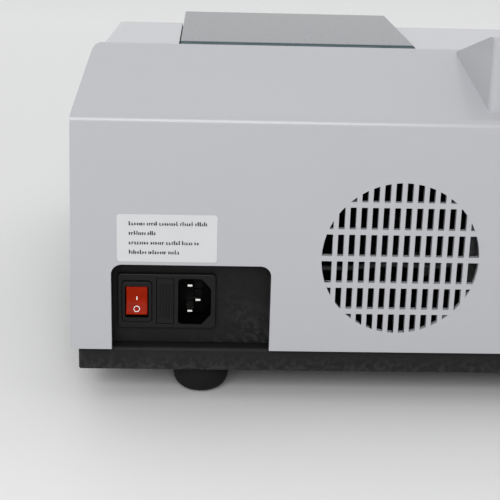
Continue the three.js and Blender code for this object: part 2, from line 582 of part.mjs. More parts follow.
// ---- control panel on the front slope ----
const keySlots = keyXs.map((x) => toSolid(boxGeometry(x - KEY.w / 2 - 0.4, x + KEY.w / 2 + 0.4,
  KEY.y - KEY.h / 2 - 0.4, KEY.y + KEY.h / 2 + 0.4, -8, 5)));
const windowSlot = toSolid(boxGeometry(WINDOW.x0, WINDOW.x1, WINDOW.y0, WINDOW.y1, -8, 5));
const panelPlate = cut(
  runZ(roundRect(PANEL.x0, PANEL.x1, PANEL.y0, PANEL.y1, 4), -PANEL.sink, 0.6),
  windowSlot, ...keySlots,
);
piece('control_panel', panelPlate, finish(0x3b4350, 0.5), slopeFrame);
const displayPane = boxGeometry(WINDOW.x0 + GAP, WINDOW.x1 - GAP, WINDOW.y0 + GAP, WINDOW.y1 - GAP,
  -PANEL.sink, 0.2);
piece('display_window', displayPane, GLASS, slopeFrame);
const displayBoard = join(
  toSolid(boxGeometry(PANEL.x0 + 12, PANEL.x1 - 12, PANEL.y0 + 10, PANEL.y1 - 12, -9, -7.4)),
  toSolid(boxGeometry(WINDOW.x0 + 2, WINDOW.x1 - 2, WINDOW.y0 + 2, WINDOW.y1 - 2, -8, -2)),
);
piece('display_board', displayBoard, finish(0x1e4d33, 0.5), slopeFrame);
['mode_key', 'zero_key', 'full_scale_key', 'enter_key'].forEach((name, i) => {
  const cap = runZ(roundRect(-KEY.w / 2, KEY.w / 2, -KEY.h / 2, KEY.h / 2, 1.5), 0, KEY.stand + 5);
  piece(name, cap, finish(0xc9ccd0, 0.5), slopeFrame).position.set(keyXs[i], KEY.y, -5 + 0.6);
});

// ---- wavelength drive: knob and pinion turn the toothed dial under its window ----
function gearShape(teeth, bore, turn) {
  const pitchR = teeth / 2;
  const shape = new THREE.Shape();
  const root = pitchR - 1.2;
  const tip = pitchR + 0.85;
  const steps = [[-0.3, root], [-0.13, tip], [0.13, tip], [0.3, root]];
  for (let tooth = 0; tooth < teeth; tooth += 1) {
    steps.forEach(([part, radius], i) => {
      const angle = (tooth + part) / teeth * Math.PI * 2 + turn;
      const at = [Math.cos(angle) * radius, Math.sin(angle) * radius];
      if (tooth === 0 && i === 0) {
        shape.moveTo(...at);
      } else {
        shape.lineTo(...at);
      }
    });
  }
  shape.closePath();
  const hole = new THREE.Path();
  hole.absarc(0, 0, bore, 0, Math.PI * 2, true);
  shape.holes.push(hole);
  return shape;
}
const GEAR_Z = -11;
const SHAFT_R = 3;
// A dial tooth points straight down the slope; the pinion shows it a space.
const dialTurn = -Math.PI / 2;
const pinionTurn = Math.PI / 2 + Math.PI / PINION_TEETH;
piece('wavelength_dial', extruded(gearShape(DIAL_TEETH, SHAFT_R + GAP, dialTurn), 3, 4)
  .translate(0, 0, GEAR_Z), finish(0xe2e2de, 0.5), slopeFrame).position.set(KNOB_X, DIAL_Y, 0);
piece('knob_pinion', extruded(gearShape(PINION_TEETH, SHAFT_R + GAP, pinionTurn), 5, 4)
  .translate(0, 0, GEAR_Z - 1), BRASS, slopeFrame).position.set(KNOB_X, KNOB_Y, 0);
const shaftSteps = (top) => [[0, -27], [SHAFT_R, -27], [SHAFT_R, top], [0, top]];
piece('knob_shaft', turned(shaftSteps(12), 20), STEEL, slopeFrame).position.set(KNOB_X, KNOB_Y, 0);
piece('dial_shaft', turned(shaftSteps(-5), 20), STEEL, slopeFrame).position.set(KNOB_X, DIAL_Y, 0);
const knobSteps = [[0, 18], [15.2, 18], [17, 16], [17, 3], [20, 2.6], [20, 1], [SHAFT_R + GAP, 1],
  [SHAFT_R + GAP, 12 + GAP], [0, 12 + GAP]];
piece('wavelength_knob', turned([...knobSteps].reverse(), 28), BLACK_PLASTIC, slopeFrame)
  .position.set(KNOB_X, KNOB_Y, 0);
const dialPane = boxGeometry(KNOB_X - DIAL_WINDOW.w / 2 + GAP, KNOB_X + DIAL_WINDOW.w / 2 - GAP,
  DIAL_WINDOW.y - DIAL_WINDOW.h / 2 + GAP, DIAL_WINDOW.y + DIAL_WINDOW.h / 2 - GAP, -2.4, -0.4);
piece('dial_window', dialPane, GLASS, slopeFrame);
const bracketX = [KNOB_X - 22, KNOB_X + 22];
const bracketPlate = cut(
  join(
    box(...bracketX, KNOB_Y - 10, DIAL_Y + 44, -24, -22),
    box(...bracketX, DIAL_Y + 42, DIAL_Y + 44, -24, -WALL - GAP),
    box(...bracketX, KNOB_Y - 12, KNOB_Y - 10, -24, -WALL - GAP),
  ),
  toSolid(barGeometryZ(KNOB_X, KNOB_Y, SHAFT_R + 0.3, -30, -15)),
  toSolid(barGeometryZ(KNOB_X, DIAL_Y, SHAFT_R + 0.3, -30, -15)),
);
piece('wavelength_bracket', bracketPlate, STEEL, slopeFrame);

// ---- monochromator ----
const MONO = { x0: -150, x1: 56, d0: 72, d1: 192, h0: 26, h1: 31, top: 86 };
const monoLegs = [[-140, 82], [46, 82], [-140, 182], [46, 182]].map(([x, d]) =>
  barZ(x, depth(d), 6, up(0), up(MONO.h0 + 1), 12));
const monoBase = cut(
  join(box(MONO.x0, MONO.x1, depth(MONO.d1), depth(MONO.d0), up(MONO.h0), up(MONO.h1)), ...monoLegs),
  barZ(-60, depth(150), 4.3, up(MONO.h0 - 1), up(MONO.h1 + 1)),
);
piece('monochromator_base', monoBase, ALUMINIUM);
const ENTRY_X = 10;
const monoCover = cut(
  box(MONO.x0, MONO.x1, depth(MONO.d1), depth(MONO.d0), up(MONO.h1 + GAP), up(MONO.top)),
  box(MONO.x0 + 2, MONO.x1 - 2, depth(MONO.d1 - 2), depth(MONO.d0 + 2), up(MONO.h1 - 1), up(MONO.top - 2)),
  barX(depth(BEAM_D), up(BEAM_H), 5, MONO.x1 - 5, MONO.x1 + 5),
  barY(ENTRY_X, up(BEAM_H), 5, depth(MONO.d0 + 5), depth(MONO.d0 - 5)),
);
piece('monochromator_cover', monoCover, BLACK_PAINT);
const tableProfile = [[0, -9], [4, -9], [4, GAP], [16, GAP], [16, 4], [0, 4]];
piece('grating_table', turned(tableProfile, 20), ALUMINIUM).position.set(-60, depth(150), up(MONO.h1));
const grating = piece('diffraction_grating', boxGeometry(-15, 15, -3, 3, 0, 30), GLASS);
grating.position.set(-60, depth(150), up(MONO.h1 + 4 + GAP));
grating.rotation.z = THREE.MathUtils.degToRad(35);
const mirrorStand = (x, d, turn, name) => {
  const mirror = piece(name, join(box(-20, 20, -2.5, 2.5, 6, 46), box(-12, 12, -8, 8, 0, 7)), ALUMINIUM);
  mirror.position.set(x, depth(d), up(MONO.h1 + GAP));
  mirror.rotation.z = THREE.MathUtils.degToRad(turn);
};
mirrorStand(-5, 172, 8, 'collimating_mirror');
mirrorStand(-118, 122, 82, 'focusing_mirror');
const slitPlate = (name, along) => {
  const beam = BEAM_H - MONO.h1;
  const plate = cut(box(-9, 9, -1, 1, 0, 42), box(-0.6, 0.6, -3, 3, beam - 6, beam + 6));
  const mesh = piece(name, plate, BLACK_PAINT);
  mesh.rotation.z = along;
  return mesh;
};
slitPlate('entrance_slit', 0).position.set(ENTRY_X, depth(MONO.d0 + 5), up(MONO.h1 + GAP));
slitPlate('exit_slit', Math.PI / 2).position.set(MONO.x1 - 5, depth(BEAM_D), up(MONO.h1 + GAP));

// ---- lamp, its lead and the cooling fan ----
const lampX = [ENTRY_X - 22, ENTRY_X + 22];
const lampBracket = cut(
  join(
    box(...lampX, depth(64), depth(30), up(0), up(3)),
    box(...lampX, depth(33), depth(30), up(0), up(80)),
    box(ENTRY_X - 14, ENTRY_X + 14, depth(62), depth(58), up(0), up(71)),
  ),
  barY(ENTRY_X, up(BEAM_H), 7.5, depth(35), depth(28)),
  barY(ENTRY_X, up(BEAM_H), 9 + GAP, depth(65), depth(56)),
);
piece('lamp_bracket', lampBracket, ALUMINIUM);
const lampProfile = [[0, -14], [7, -14], [7, -1], [5.6, 0], [5.6, 12], [3.2, 16], [0, 17]];
piece('halogen_lamp', turnedY(lampProfile, 16).rotateX(Math.PI), GLASS)
  .position.set(ENTRY_X, depth(34), up(BEAM_H));
const lensProfile = [[0, -3.5], [4, -3.1], [8, -1.8], [9, -1], [9, 1], [8, 1.8], [4, 3.1], [0, 3.5]];
piece('condenser_lens', turnedY(lensProfile, 16), GLASS)
  .position.set(ENTRY_X, depth(60), up(BEAM_H));
const lampLead = [
  [MODULE.x0 - 1.2, 30, 33], [158, 29.5, 35], [136, 20, 41], [105, 15, 41], [76, 14, 44], [50, 15, 43],
  [33, 15, 48], [21, 12, 55], [12.5, 9, 58], [ENTRY_X, 12, 57.5], [ENTRY_X, 20 - GAP, BEAM_H],
].map(([x, d, h]) => [x, depth(d), up(h)]);
piece('lamp_lead', lead(lampLead, 1.4, 60), finish(0x8f9296, 0.5));

const FAN = { front: 55.3, rear: 30, half: 40, bore: 37.5, screw: 35.7 };
const fanScrews = [-1, 1].flatMap((sx) =>
  [-1, 1].map((sz) => [GRILLE_X + FAN.screw * sx, up(GRILLE_H) + FAN.screw * sz]));
const spokes = [0, 1, 2].map((i) => {
  const arm = new THREE.BoxGeometry(5, 2.5, FAN.bore + 2).translate(0, 0, (FAN.bore + 2) / 2);
  arm.rotateY((i * 2 + 0.5) * Math.PI / 3);
  return toSolid(arm.translate(GRILLE_X, depth(FAN.front - 1.25), up(GRILLE_H)));
});
const fanOutline = roundRect(GRILLE_X - FAN.half, GRILLE_X + FAN.half,
  up(GRILLE_H) - FAN.half, up(GRILLE_H) + FAN.half, 5);
const fanFrame = join(
  cut(
    runY(fanOutline, depth(FAN.front), depth(FAN.rear)),
    barY(GRILLE_X, up(GRILLE_H), FAN.bore, depth(FAN.front + 1), depth(FAN.rear - 1), 40),
    ...fanScrews.map(([x, z]) => barY(x, z, 2.2, depth(FAN.front + 1), depth(FAN.rear - 1), 10)),
  ),
  ...spokes,
  barY(GRILLE_X, up(GRILLE_H), 14, depth(FAN.front), depth(FAN.front - 2.5), 24),
  barY(GRILLE_X, up(GRILLE_H), 1.5, depth(FAN.front - 2), depth(FAN.front - 12), 10),
);
piece('fan_frame', fanFrame, BLACK_PLASTIC);
// The fan stands on a bent bracket and is screwed to its two ears.
const bracketD = [FAN.front + GAP + 1.5, FAN.front + GAP];
const fanBracket = join(
  box(GRILLE_X - FAN.half, GRILLE_X + FAN.half, depth(bracketD[0]), depth(FAN.rear), up(0), up(1.5)),
  box(GRILLE_X - FAN.half, GRILLE_X + FAN.half, depth(bracketD[0]), depth(bracketD[1]), up(0), up(13)),
  ...[-1, 1].map((side) => box(GRILLE_X + side * 35 - 5, GRILLE_X + side * 35 + 5,
    depth(bracketD[0]), depth(bracketD[1]), up(0), up(24))),
);
piece('fan_bracket', fanBracket, STEEL);
const BLADES = 7;
const blade = (i) => {
  const plate = new THREE.BoxGeometry(19, 1.4, 24).translate(0, 0, 23.5);
  plate.rotateZ(THREE.MathUtils.degToRad(38));
  return toSolid(plate.rotateY(i * Math.PI * 2 / BLADES));
};
const impeller = cut(
  join(barY(0, 0, 15, -10, 10, 28), ...Array.from({ length: BLADES }, (_, i) => blade(i))),
  barY(0, 0, 1.8, -11, 2, 12),
);
piece('fan_impeller', impeller, BLACK_PLASTIC)
  .position.set(GRILLE_X, depth(FAN.rear + 11.9), up(GRILLE_H));

// ---- detector, transformer and main board ----
const detector = cut(
  join(
    box(190.5, 224, depth(148), depth(98), up(36), up(80)),
    box(196, 218, depth(140), depth(106), up(0), up(37)),
  ),
  barX(depth(BEAM_D), up(BEAM_H), 6, 185, 215),
);
piece('detector_housing', detector, BLACK_PAINT);
const transformer = join(
  box(-214, -164, depth(112), depth(44), up(6), up(60)),
  box(-204, -174, depth(122), depth(34), up(14), up(52)),
  box(-226, -152, depth(100), depth(56), up(0), up(7)),
);
piece('power_transformer', transformer, finish(0x55504a, 0.5, 0.4));
const standoffs = [[-206, 214], [-34, 214], [-206, 322], [-34, 322]].map(([x, d]) =>
  barZ(x, depth(d), 3, up(0), up(7), 10));
const boardParts = [
  [-190, -150, 230, 250, 12], [-140, -112, 228, 256, 30], [-100, -60, 236, 262, 9],
  [-184, -120, 276, 300, 8], [-96, -52, 280, 310, 22], [-50, -38, 232, 300, 14],
].map(([x0, x1, d0, d1, h]) => box(x0, x1, depth(d1), depth(d0), up(8), up(8 + h)));
const board = join(box(-214, -26, depth(330), depth(206), up(6.5), up(8.1)), ...standoffs, ...boardParts);
piece('main_board', board, finish(0x1e5a38, 0.5));

export default instrument;
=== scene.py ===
"""Looks of a bench spectrophotometer: fine shells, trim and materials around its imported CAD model.

Lengths are in metres in Blender; the constants below are in millimetres and go through mm().
"depth" runs forward from the rear wall and "height" runs up from the base plate's top face.
"""
import json
import math
import random

import bmesh
import bpy
from mathutils import Matrix, Vector


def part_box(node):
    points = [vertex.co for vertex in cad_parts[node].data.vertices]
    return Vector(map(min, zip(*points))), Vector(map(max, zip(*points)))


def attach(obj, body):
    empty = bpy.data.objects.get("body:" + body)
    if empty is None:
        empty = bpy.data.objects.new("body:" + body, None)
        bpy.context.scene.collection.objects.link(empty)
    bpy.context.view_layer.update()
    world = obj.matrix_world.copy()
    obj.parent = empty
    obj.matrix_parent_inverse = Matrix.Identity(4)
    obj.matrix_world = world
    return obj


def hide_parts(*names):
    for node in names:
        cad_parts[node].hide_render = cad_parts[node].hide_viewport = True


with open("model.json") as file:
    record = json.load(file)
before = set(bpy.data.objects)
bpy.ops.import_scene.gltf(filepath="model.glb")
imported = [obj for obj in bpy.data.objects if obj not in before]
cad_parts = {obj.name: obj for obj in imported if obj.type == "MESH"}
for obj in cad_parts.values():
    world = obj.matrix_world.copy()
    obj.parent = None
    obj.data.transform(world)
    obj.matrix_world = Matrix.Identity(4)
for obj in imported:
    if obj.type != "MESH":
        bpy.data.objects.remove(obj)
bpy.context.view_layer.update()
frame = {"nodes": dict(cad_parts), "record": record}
NODES = frame["nodes"]
BODY_OF = {node: body for body, members in frame["record"]["behaviour"]["bodies"].items() for node in members}
SLOT_OF = {row["node"]: row["material_slot"] for row in frame["record"]["subparts"]}


def mm(value):
    return value * 0.001


# ---- places taken from the frame ----
HOUSING_LOW, HOUSING_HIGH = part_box("upper_housing")
BASE_LOW, BASE_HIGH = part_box("base_plate")
LID_LOW, LID_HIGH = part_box("compartment_lid")
REAR_Y = HOUSING_HIGH.y
DECK_Z = BASE_HIGH.z
HALF_W = HOUSING_HIGH.x
BODY_D = (HOUSING_HIGH.y - HOUSING_LOW.y) / 0.001

# ---- the housing's driving dimensions, as in the CAD model ----
WALL = 3.0
SEAT_GAP = 0.3
WALL_H = 122.3
TOP_H = 148.5
RIDGE_D = 60.0
BROW_D = 140.0
FRONT_H = 62.0
SIDE_LEAN = 2.2
SHOULDER_IN = 9.0
DECK_IN = 14.0
BROW_IN = 17.0
STEP_D = RIDGE_D + 1.0
SLOPE = math.atan2(TOP_H - FRONT_H, BODY_D - BROW_D)
GRILLE = {"x": 73.6, "h": 51.4, "r": 40.0, "pitch_x": 5.572, "pitch_z": 14.22, "w": 3.1, "h_slot": 11.4}
RECESS = {"x0": 138.7, "x1": 219.8, "h": 46.6, "r": 5.5, "deep": 10.0}


def rear(depth):
    """Row-frame Y, in metres, of a depth in millimetres forward of the rear wall."""
    return REAR_Y - mm(depth)


def up(height):
    """Row-frame Z, in metres, of a height in millimetres over the base plate."""
    return DECK_Z + mm(height)


# ---- Mesh helpers ----
AXES = {"X": (1, 2, 0), "Y": (0, 2, 1), "Z": (0, 1, 2)}


def new_object(name, data):
    obj = bpy.data.objects.new(name, data)
    bpy.context.scene.collection.objects.link(obj)
    return obj


def object_from_bmesh(name, bm):
    bmesh.ops.recalc_face_normals(bm, faces=bm.faces)
    mesh = bpy.data.meshes.new(name)
    bm.to_mesh(mesh)
    bm.free()
    return new_object(name, mesh)


def fillet(corners, steps=6):
    """Closed outline from corners (a, b, radius): each corner becomes a circular arc."""
    points = []
    count = len(corners)
    for i, corner in enumerate(corners):
        here = Vector(corner[:2])
        radius = corner[2] if len(corner) > 2 else 0.0
        to_prev = (Vector(corners[i - 1][:2]) - here).normalized()
        to_next = (Vector(corners[(i + 1) % count][:2]) - here).normalized()
        if radius <= 0:
            points.append(tuple(here))
            continue
        half = to_prev.angle(to_next) / 2
        reach = radius / math.tan(half)
        centre = here + (to_prev + to_next).normalized() * (radius / math.sin(half))
        start = here + to_prev * reach - centre
        end = here + to_next * reach - centre
        sweep = start.angle_signed(end)
        for step in range(steps + 1):
            turn = Matrix.Rotation(-sweep * step / steps, 2)
            points.append(tuple(centre + turn @ start))
    return points


def loft(name, sections, axis):
    """A closed solid through outlines of as many points each, every one at its level along an axis."""
    a, b, c = AXES[axis]
    bm = bmesh.new()
    rings = []
    for outline, level in sections:
        ring = []
        for point in outline:
            co = [0.0, 0.0, 0.0]
            co[a], co[b], co[c] = point[0], point[1], level
            ring.append(bm.verts.new(co))
        rings.append(ring)
    bm.faces.new(rings[0])
    bm.faces.new(rings[-1])
    count = len(rings[0])
    for near, far in zip(rings, rings[1:]):
        for i in range(count):
            j = (i + 1) % count
            bm.faces.new((near[i], near[j], far[j], far[i]))
    return object_from_bmesh(name, bm)


def prism(name, outline, axis, low, high):
    """A closed solid: an outline in the two other axes, in metres, run from low to high."""
    return loft(name, [(outline, low), (outline, high)], axis)


def block(name, x0, x1, y0, y1, z0, z1):
    return prism(name, [(x0, y0), (x1, y0), (x1, y1), (x0, y1)], "Z", z0, z1)


def rounded_rect(x0, x1, y0, y1, radius, steps=6):
    return fillet([(x0, y0, radius), (x1, y0, radius), (x1, y1, radius), (x0, y1, radius)], steps)


def plan(x0, x1, y0, y1, radius=0.2, steps=6):
    """A rounded rectangle, in metres, from sizes in millimetres."""
    return rounded_rect(mm(x0), mm(x1), mm(y0), mm(y1), mm(radius), steps)


def around(sizes, grow):
    """The edges of a named rectangle, moved out on all sides."""
    return sizes["x0"] - grow, sizes["x1"] + grow, sizes["y0"] - grow, sizes["y1"] + grow


def sheet(name, outline, low, high):
    """A solid along Z: an outline in metres between two heights in millimetres."""
    return prism(name, outline, "Z", mm(low), mm(high))


def slab(name, x0, x1, y0, y1, low, high):
    """A block from sizes in millimetres."""
    return block(name, mm(x0), mm(x1), mm(y0), mm(y1), mm(low), mm(high))


def circle(cx, cy, radius, count=64):
    return [(cx + radius * math.cos(math.tau * i / count), cy + radius * math.sin(math.tau * i / count))
            for i in range(count)]


def turned(name, corners, steps, sides, squeeze=None, closed=False):
    """A turned solid about +Z from (radius, height, fillet) corners in millimetres.

    The corners start and end on the axis, or are closed on themselves around it.
    """
    profile = [(mm(radius), mm(height)) for radius, height in fillet(corners, steps)]
    if closed:
        profile.append(profile[0])
    bm = bmesh.new()
    rings = []
    for radius, height in profile:
        if radius < 1e-7:
            rings.append([bm.verts.new((0, 0, height))])
            continue
        ring = []
        for i in range(sides):
            angle = math.tau * i / sides
            r = radius if squeeze is None else squeeze(radius, height, angle)
            ring.append(bm.verts.new((r * math.cos(angle), r * math.sin(angle), height)))
        rings.append(ring)
    for low, high in zip(rings, rings[1:]):
        for i in range(sides):
            j = (i + 1) % sides
            if len(low) == 1 and len(high) == 1:
                continue
            if len(low) == 1:
                bm.faces.new((low[0], high[j], high[i]))
            elif len(high) == 1:
                bm.faces.new((low[i], low[j], high[0]))
            else:
                bm.faces.new((low[i], low[j], high[j], high[i]))
    return object_from_bmesh(name, bm)


def apply_all(obj):
    """Replaces the object's mesh by what its modifiers make of it."""
    graph = bpy.context.evaluated_depsgraph_get()
    mesh = bpy.data.meshes.new_from_object(obj.evaluated_get(graph))
    obj.modifiers.clear()
    old = obj.data
    obj.data = mesh
    mesh.name = obj.name
    bpy.data.meshes.remove(old)
    return obj


def boolean(obj, cutter, operation="DIFFERENCE"):
    modifier = obj.modifiers.new("cut", "BOOLEAN")
    modifier.operation = operation
    modifier.solver = "EXACT"
    modifier.object = cutter
    apply_all(obj)
    bpy.data.objects.remove(cutter)
    return obj


def merged(name, objs):
    """One object holding the separate solids of several."""
    bm = bmesh.new()
    for obj in objs:
        part = obj.data.copy()
        part.transform(obj.matrix_world)
        bm.from_mesh(part)
        bpy.data.meshes.remove(part)
        bpy.data.objects.remove(obj)
    mesh = bpy.data.meshes.new(name)
    bm.to_mesh(mesh)
    bm.free()
    return new_object(name, mesh)


def soften(obj, width, segments=3, angle=30.0, keep=None):
    """Rounds the edges sharper than angle by width millimetres, but not those where keep(middle) is true."""
    if width > 0:
        modifier = obj.modifiers.new("edges", "BEVEL")
        modifier.width = mm(width)
        modifier.segments = segments
        modifier.miter_outer = "MITER_ARC"
        modifier.limit_method = "ANGLE"
        modifier.angle_limit = math.radians(angle)
        if keep:
            modifier.limit_method = "WEIGHT"
            bm = bmesh.new()
            bm.from_mesh(obj.data)
            weight = bm.edges.layers.float.new("bevel_weight_edge")
            for edge in bm.edges:
                middle = (edge.verts[0].co + edge.verts[1].co) / 2
                sharp = len(edge.link_faces) == 2 and edge.calc_face_angle() > math.radians(angle)
                edge[weight] = 1.0 if sharp and not keep(middle) else 0.0
            bm.to_mesh(obj.data)
            bm.free()
        apply_all(obj)
    return obj


def place(obj, matrix):
    obj.data.transform(matrix)
    return obj


def shade(obj, sharp=40.0):
    for polygon in obj.data.polygons:
        polygon.use_smooth = True
    obj.data.set_sharp_from_angle(angle=math.radians(sharp))
    modifier = obj.modifiers.new("normals", "WEIGHTED_NORMAL")
    modifier.keep_sharp = True
    modifier.weight = 80
    return obj


def fix_normals(obj):
    bm = bmesh.new()
    bm.from_mesh(obj.data)
    bmesh.ops.recalc_face_normals(bm, faces=bm.faces)
    bm.to_mesh(obj.data)
    bm.free()
    return obj


def clean(obj, merge=1e-6, flat=0.2):
    """Joins doubled points and dissolves needless edges in flat areas."""
    bm = bmesh.new()
    bm.from_mesh(obj.data)
    bmesh.ops.remove_doubles(bm, verts=bm.verts, dist=merge)
    bmesh.ops.dissolve_limit(bm, angle_limit=math.radians(flat), verts=bm.verts, edges=bm.edges)
    bm.to_mesh(obj.data)
    bm.free()
    return obj


# ---- Materials ----
def map_range(tree, source, low, high, out_low, out_high):
    """Adds a node that carries a value from low to high over to out_low to out_high."""
    node = tree.nodes.new("ShaderNodeMapRange")
    for socket, value in (("From Min", low), ("From Max", high), ("To Min", out_low), ("To Max", out_high)):
        node.inputs[socket].default_value = value
    tree.links.new(source, node.inputs["Value"])
    return node.outputs["Result"]


class Look:
    """A procedural material under construction: shader, texture space and small helpers."""

    def __init__(self, name):
        self.material = bpy.data.materials.new(name)
        self.material.use_nodes = True
        self.nodes = self.material.node_tree.nodes
        self.links = self.material.node_tree.links
        self.shader = self.nodes["Principled BSDF"]
        self.space = self.nodes.new("ShaderNodeTexCoord").outputs["Object"]

    def set(self, **values):
        for key, value in values.items():
            self.shader.inputs[key.replace("_", " ")].default_value = value
        return self

    def link(self, output, socket):
        self.links.new(output, self.shader.inputs[socket])

    def noise(self, size, detail=3.0, roughness=0.5, stretch=None):
        """Noise whose features are about size millimetres across."""
        node = self.nodes.new("ShaderNodeTexNoise")
        node.inputs["Scale"].default_value = 1.0 / mm(size)
        node.inputs["Detail"].default_value = detail
        node.inputs["Roughness"].default_value = roughness
        source = self.space
        if stretch:
            mapping = self.nodes.new("ShaderNodeMapping")
            mapping.inputs["Scale"].default_value = stretch
            self.links.new(self.space, mapping.inputs["Vector"])
            source = mapping.outputs["Vector"]
        self.links.new(source, node.inputs["Vector"])
        return node.outputs["Fac"]

    def cells(self, size):
        """Soft-edged cells about size millimetres across."""
        node = self.nodes.new("ShaderNodeTexVoronoi")
        node.feature = "SMOOTH_F1"
        node.inputs["Scale"].default_value = 1.0 / mm(size)
        self.links.new(self.space, node.inputs["Vector"])
        return node.outputs["Distance"]

    def ramp(self, source, low, high, out_low, out_high):
        return map_range(self.material.node_tree, source, low, high, out_low, out_high)

    def mix(self, factor, first, second):
        node = self.nodes.new("ShaderNodeMix")
        node.data_type = "RGBA"
        self.links.new(factor, node.inputs["Factor"])
        for value, socket in ((first, node.inputs["A"]), (second, node.inputs["B"])):
            if isinstance(value, tuple):
                socket.default_value = (*value, 1.0) if len(value) == 3 else value
            else:
                self.links.new(value, socket)
        return node.outputs["Result"]

    def bump(self, heights, distance=0.1):
        """Stacks bumps: each (source, strength), distance in millimetres."""
        normal = None
        for source, strength in heights:
            node = self.nodes.new("ShaderNodeBump")
            node.inputs["Strength"].default_value = strength
            node.inputs["Distance"].default_value = mm(distance)
            self.links.new(source, node.inputs["Height"])
            if normal is not None:
                self.links.new(normal, node.inputs["Normal"])
            normal = node.outputs["Normal"]
        self.link(normal, "Normal")

    def edges(self, low, high):
        """1 on convex edges, 0 on flats."""
        pointiness = self.nodes.new("ShaderNodeNewGeometry").outputs["Pointiness"]
        return self.ramp(pointiness, low, high, 0.0, 1.0)


def tint(colour, factor):
    return tuple(min(1.0, c * factor) for c in colour)


def moulded(name, colour, roughness=0.42, grain=0.45, depth=0.35, mottle=0.02, specular=0.4, uneven=0.05):
    """Moulded plastic: spark-eroded grain, faint mottling and uneven gloss."""
    look = Look(name)
    look.set(Specular_IOR_Level=specular)
    broad = look.noise(38.0, detail=2.0)
    fine = look.noise(grain, detail=2.0)
    pores = look.cells(grain * 1.7)
    tone = look.ramp(broad, 0.3, 0.7, 0.0, 1.0)
    darker, lighter = tint(colour, 1 - mottle / 2), tint(colour, 1 + mottle / 2)
    speck = look.mix(look.ramp(fine, 0.35, 0.65, 0.0, 1.0), darker, lighter)
    look.link(look.mix(tone, tint(colour, 1 - mottle), speck), "Base Color")
    gloss = look.ramp(look.noise(6.0, detail=4.0), 0.25, 0.75, roughness - uneven, roughness + uneven)
    look.link(gloss, "Roughness")
    look.bump([(fine, depth * 0.5), (pores, depth * 0.35)], distance=0.06)
    return look.material


def powder_coat(name, colour, roughness=0.55, grain=0.9, depth=0.6, worn=0.35):
    """Textured paint on sheet metal: a pebbled surface, dust in the pits and rubbed edges."""
    look = Look(name)
    look.set(Specular_IOR_Level=0.16)
    pebbles = look.cells(grain)
    fine = look.noise(grain * 0.45, detail=3.0)
    dust = look.ramp(look.noise(14.0, detail=5.0, roughness=0.65), 0.48, 0.72, 0.0, 0.55)
    pits = look.mix(look.ramp(fine, 0.42, 0.66, 0.0, 1.0), colour, tint(colour, 1.6))
    dusty = look.mix(dust, pits, tuple(c * 1.15 + 0.007 for c in colour))
    rubbed = look.nodes.new("ShaderNodeMath")
    rubbed.operation = "MULTIPLY"
    look.links.new(look.edges(0.53, 0.60), rubbed.inputs[0])
    look.links.new(look.ramp(look.noise(3.0, detail=4.0), 0.45, 0.6, 0.0, worn), rubbed.inputs[1])
    look.link(look.mix(rubbed.outputs["Value"], dusty, (0.22, 0.22, 0.23)), "Base Color")
    look.link(look.ramp(fine, 0.3, 0.7, roughness - 0.08, roughness + 0.12), "Roughness")
    look.bump([(pebbles, depth * 0.6), (fine, depth * 0.5)], distance=0.12)
    return look.material


def rubber(name, colour):
    """Matt rubber or foam with a pale bloom in patches."""
    look = Look(name)
    look.set(Specular_IOR_Level=0.18)
    fine = look.noise(0.5, detail=4.0)
    bloom = look.ramp(look.noise(9.0, detail=5.0, roughness=0.7), 0.45, 0.75, 0.0, 0.3)
    look.link(look.mix(bloom, colour, tuple(c * 1.4 + 0.006 for c in colour)), "Base Color")
    look.link(look.ramp(fine, 0.3, 0.7, 0.68, 0.86), "Roughness")
    look.bump([(fine, 0.35)], distance=0.08)
    return look.material


def bare_metal(name, colour, roughness=0.3, stretch=(1, 1, 1), brush=0.25):
    """Turned, brushed or plated metal: fine lines along the machining and faint stains."""
    look = Look(name)
    look.set(Metallic=1.0)
    lines = look.noise(0.6, detail=4.0, stretch=stretch)
    stain = look.ramp(look.noise(12.0, detail=4.0), 0.4, 0.75, 0.0, 0.4)
    look.link(look.mix(stain, colour, tint(colour, 0.86)), "Base Color")
    look.link(look.ramp(lines, 0.25, 0.75, roughness - 0.07, roughness + 0.1), "Roughness")
    look.bump([(lines, brush)], distance=0.02)
    return look.material


def clear(name, colour, roughness=0.03, ior=1.5):
    """Glass or clear acrylic with a trace of handling on it."""
    look = Look(name)
    look.set(Base_Color=(*colour, 1.0), IOR=ior, Transmission_Weight=1.0)
    look.link(look.ramp(look.noise(7.0, detail=5.0), 0.4, 0.8, roughness, roughness + 0.05), "Roughness")
    return look.material


# ---- The finishes ----
SHELL = moulded("shell_grey", (0.408, 0.413, 0.432), roughness=0.26, grain=0.5, depth=0.04, mottle=0.008,
                specular=0.5, uneven=0.01)
LID = moulded("lid_grey", (0.141, 0.149, 0.161), roughness=0.28, grain=0.4, depth=0.01, mottle=0.004,
              uneven=0.01)
# Painted shade: dark teal for the lid's rear edge face, standing for the shaded gap behind the lid.
LID_EDGE_SHADE = moulded("lid_edge_painted_shade", (0.040, 0.075, 0.085), roughness=0.35, grain=0.4, depth=0.1, mottle=0.1,
                   specular=0.3)
SHEET = powder_coat("textured_black_paint", (0.0088, 0.0088, 0.0092))
PANEL_BLACK = powder_coat("panel_black_paint", (0.0055, 0.0055, 0.0058), roughness=0.55, grain=0.5,
                          depth=0.25, worn=0.08)
MODULE_BLACK = moulded("module_black", (0.0058, 0.0060, 0.0062), roughness=0.4, grain=0.25, depth=0.22,
                       mottle=0.12,
                       specular=0.18)
# Painted shade: a near-black, darker than the inlet's moulding, for the inside of the socket where shade
# falls.
SOCKET_SHADE = moulded("socket_painted_shade", (0.0012, 0.0012, 0.0012), roughness=0.5, grain=0.25, depth=0.2,
                       mottle=0.1,
                       specular=0.05)
MOULDED_BLACK = moulded("black_moulding", (0.009, 0.009, 0.0095), roughness=0.42, grain=0.3, depth=0.3,
                        mottle=0.12,
                        specular=0.25)
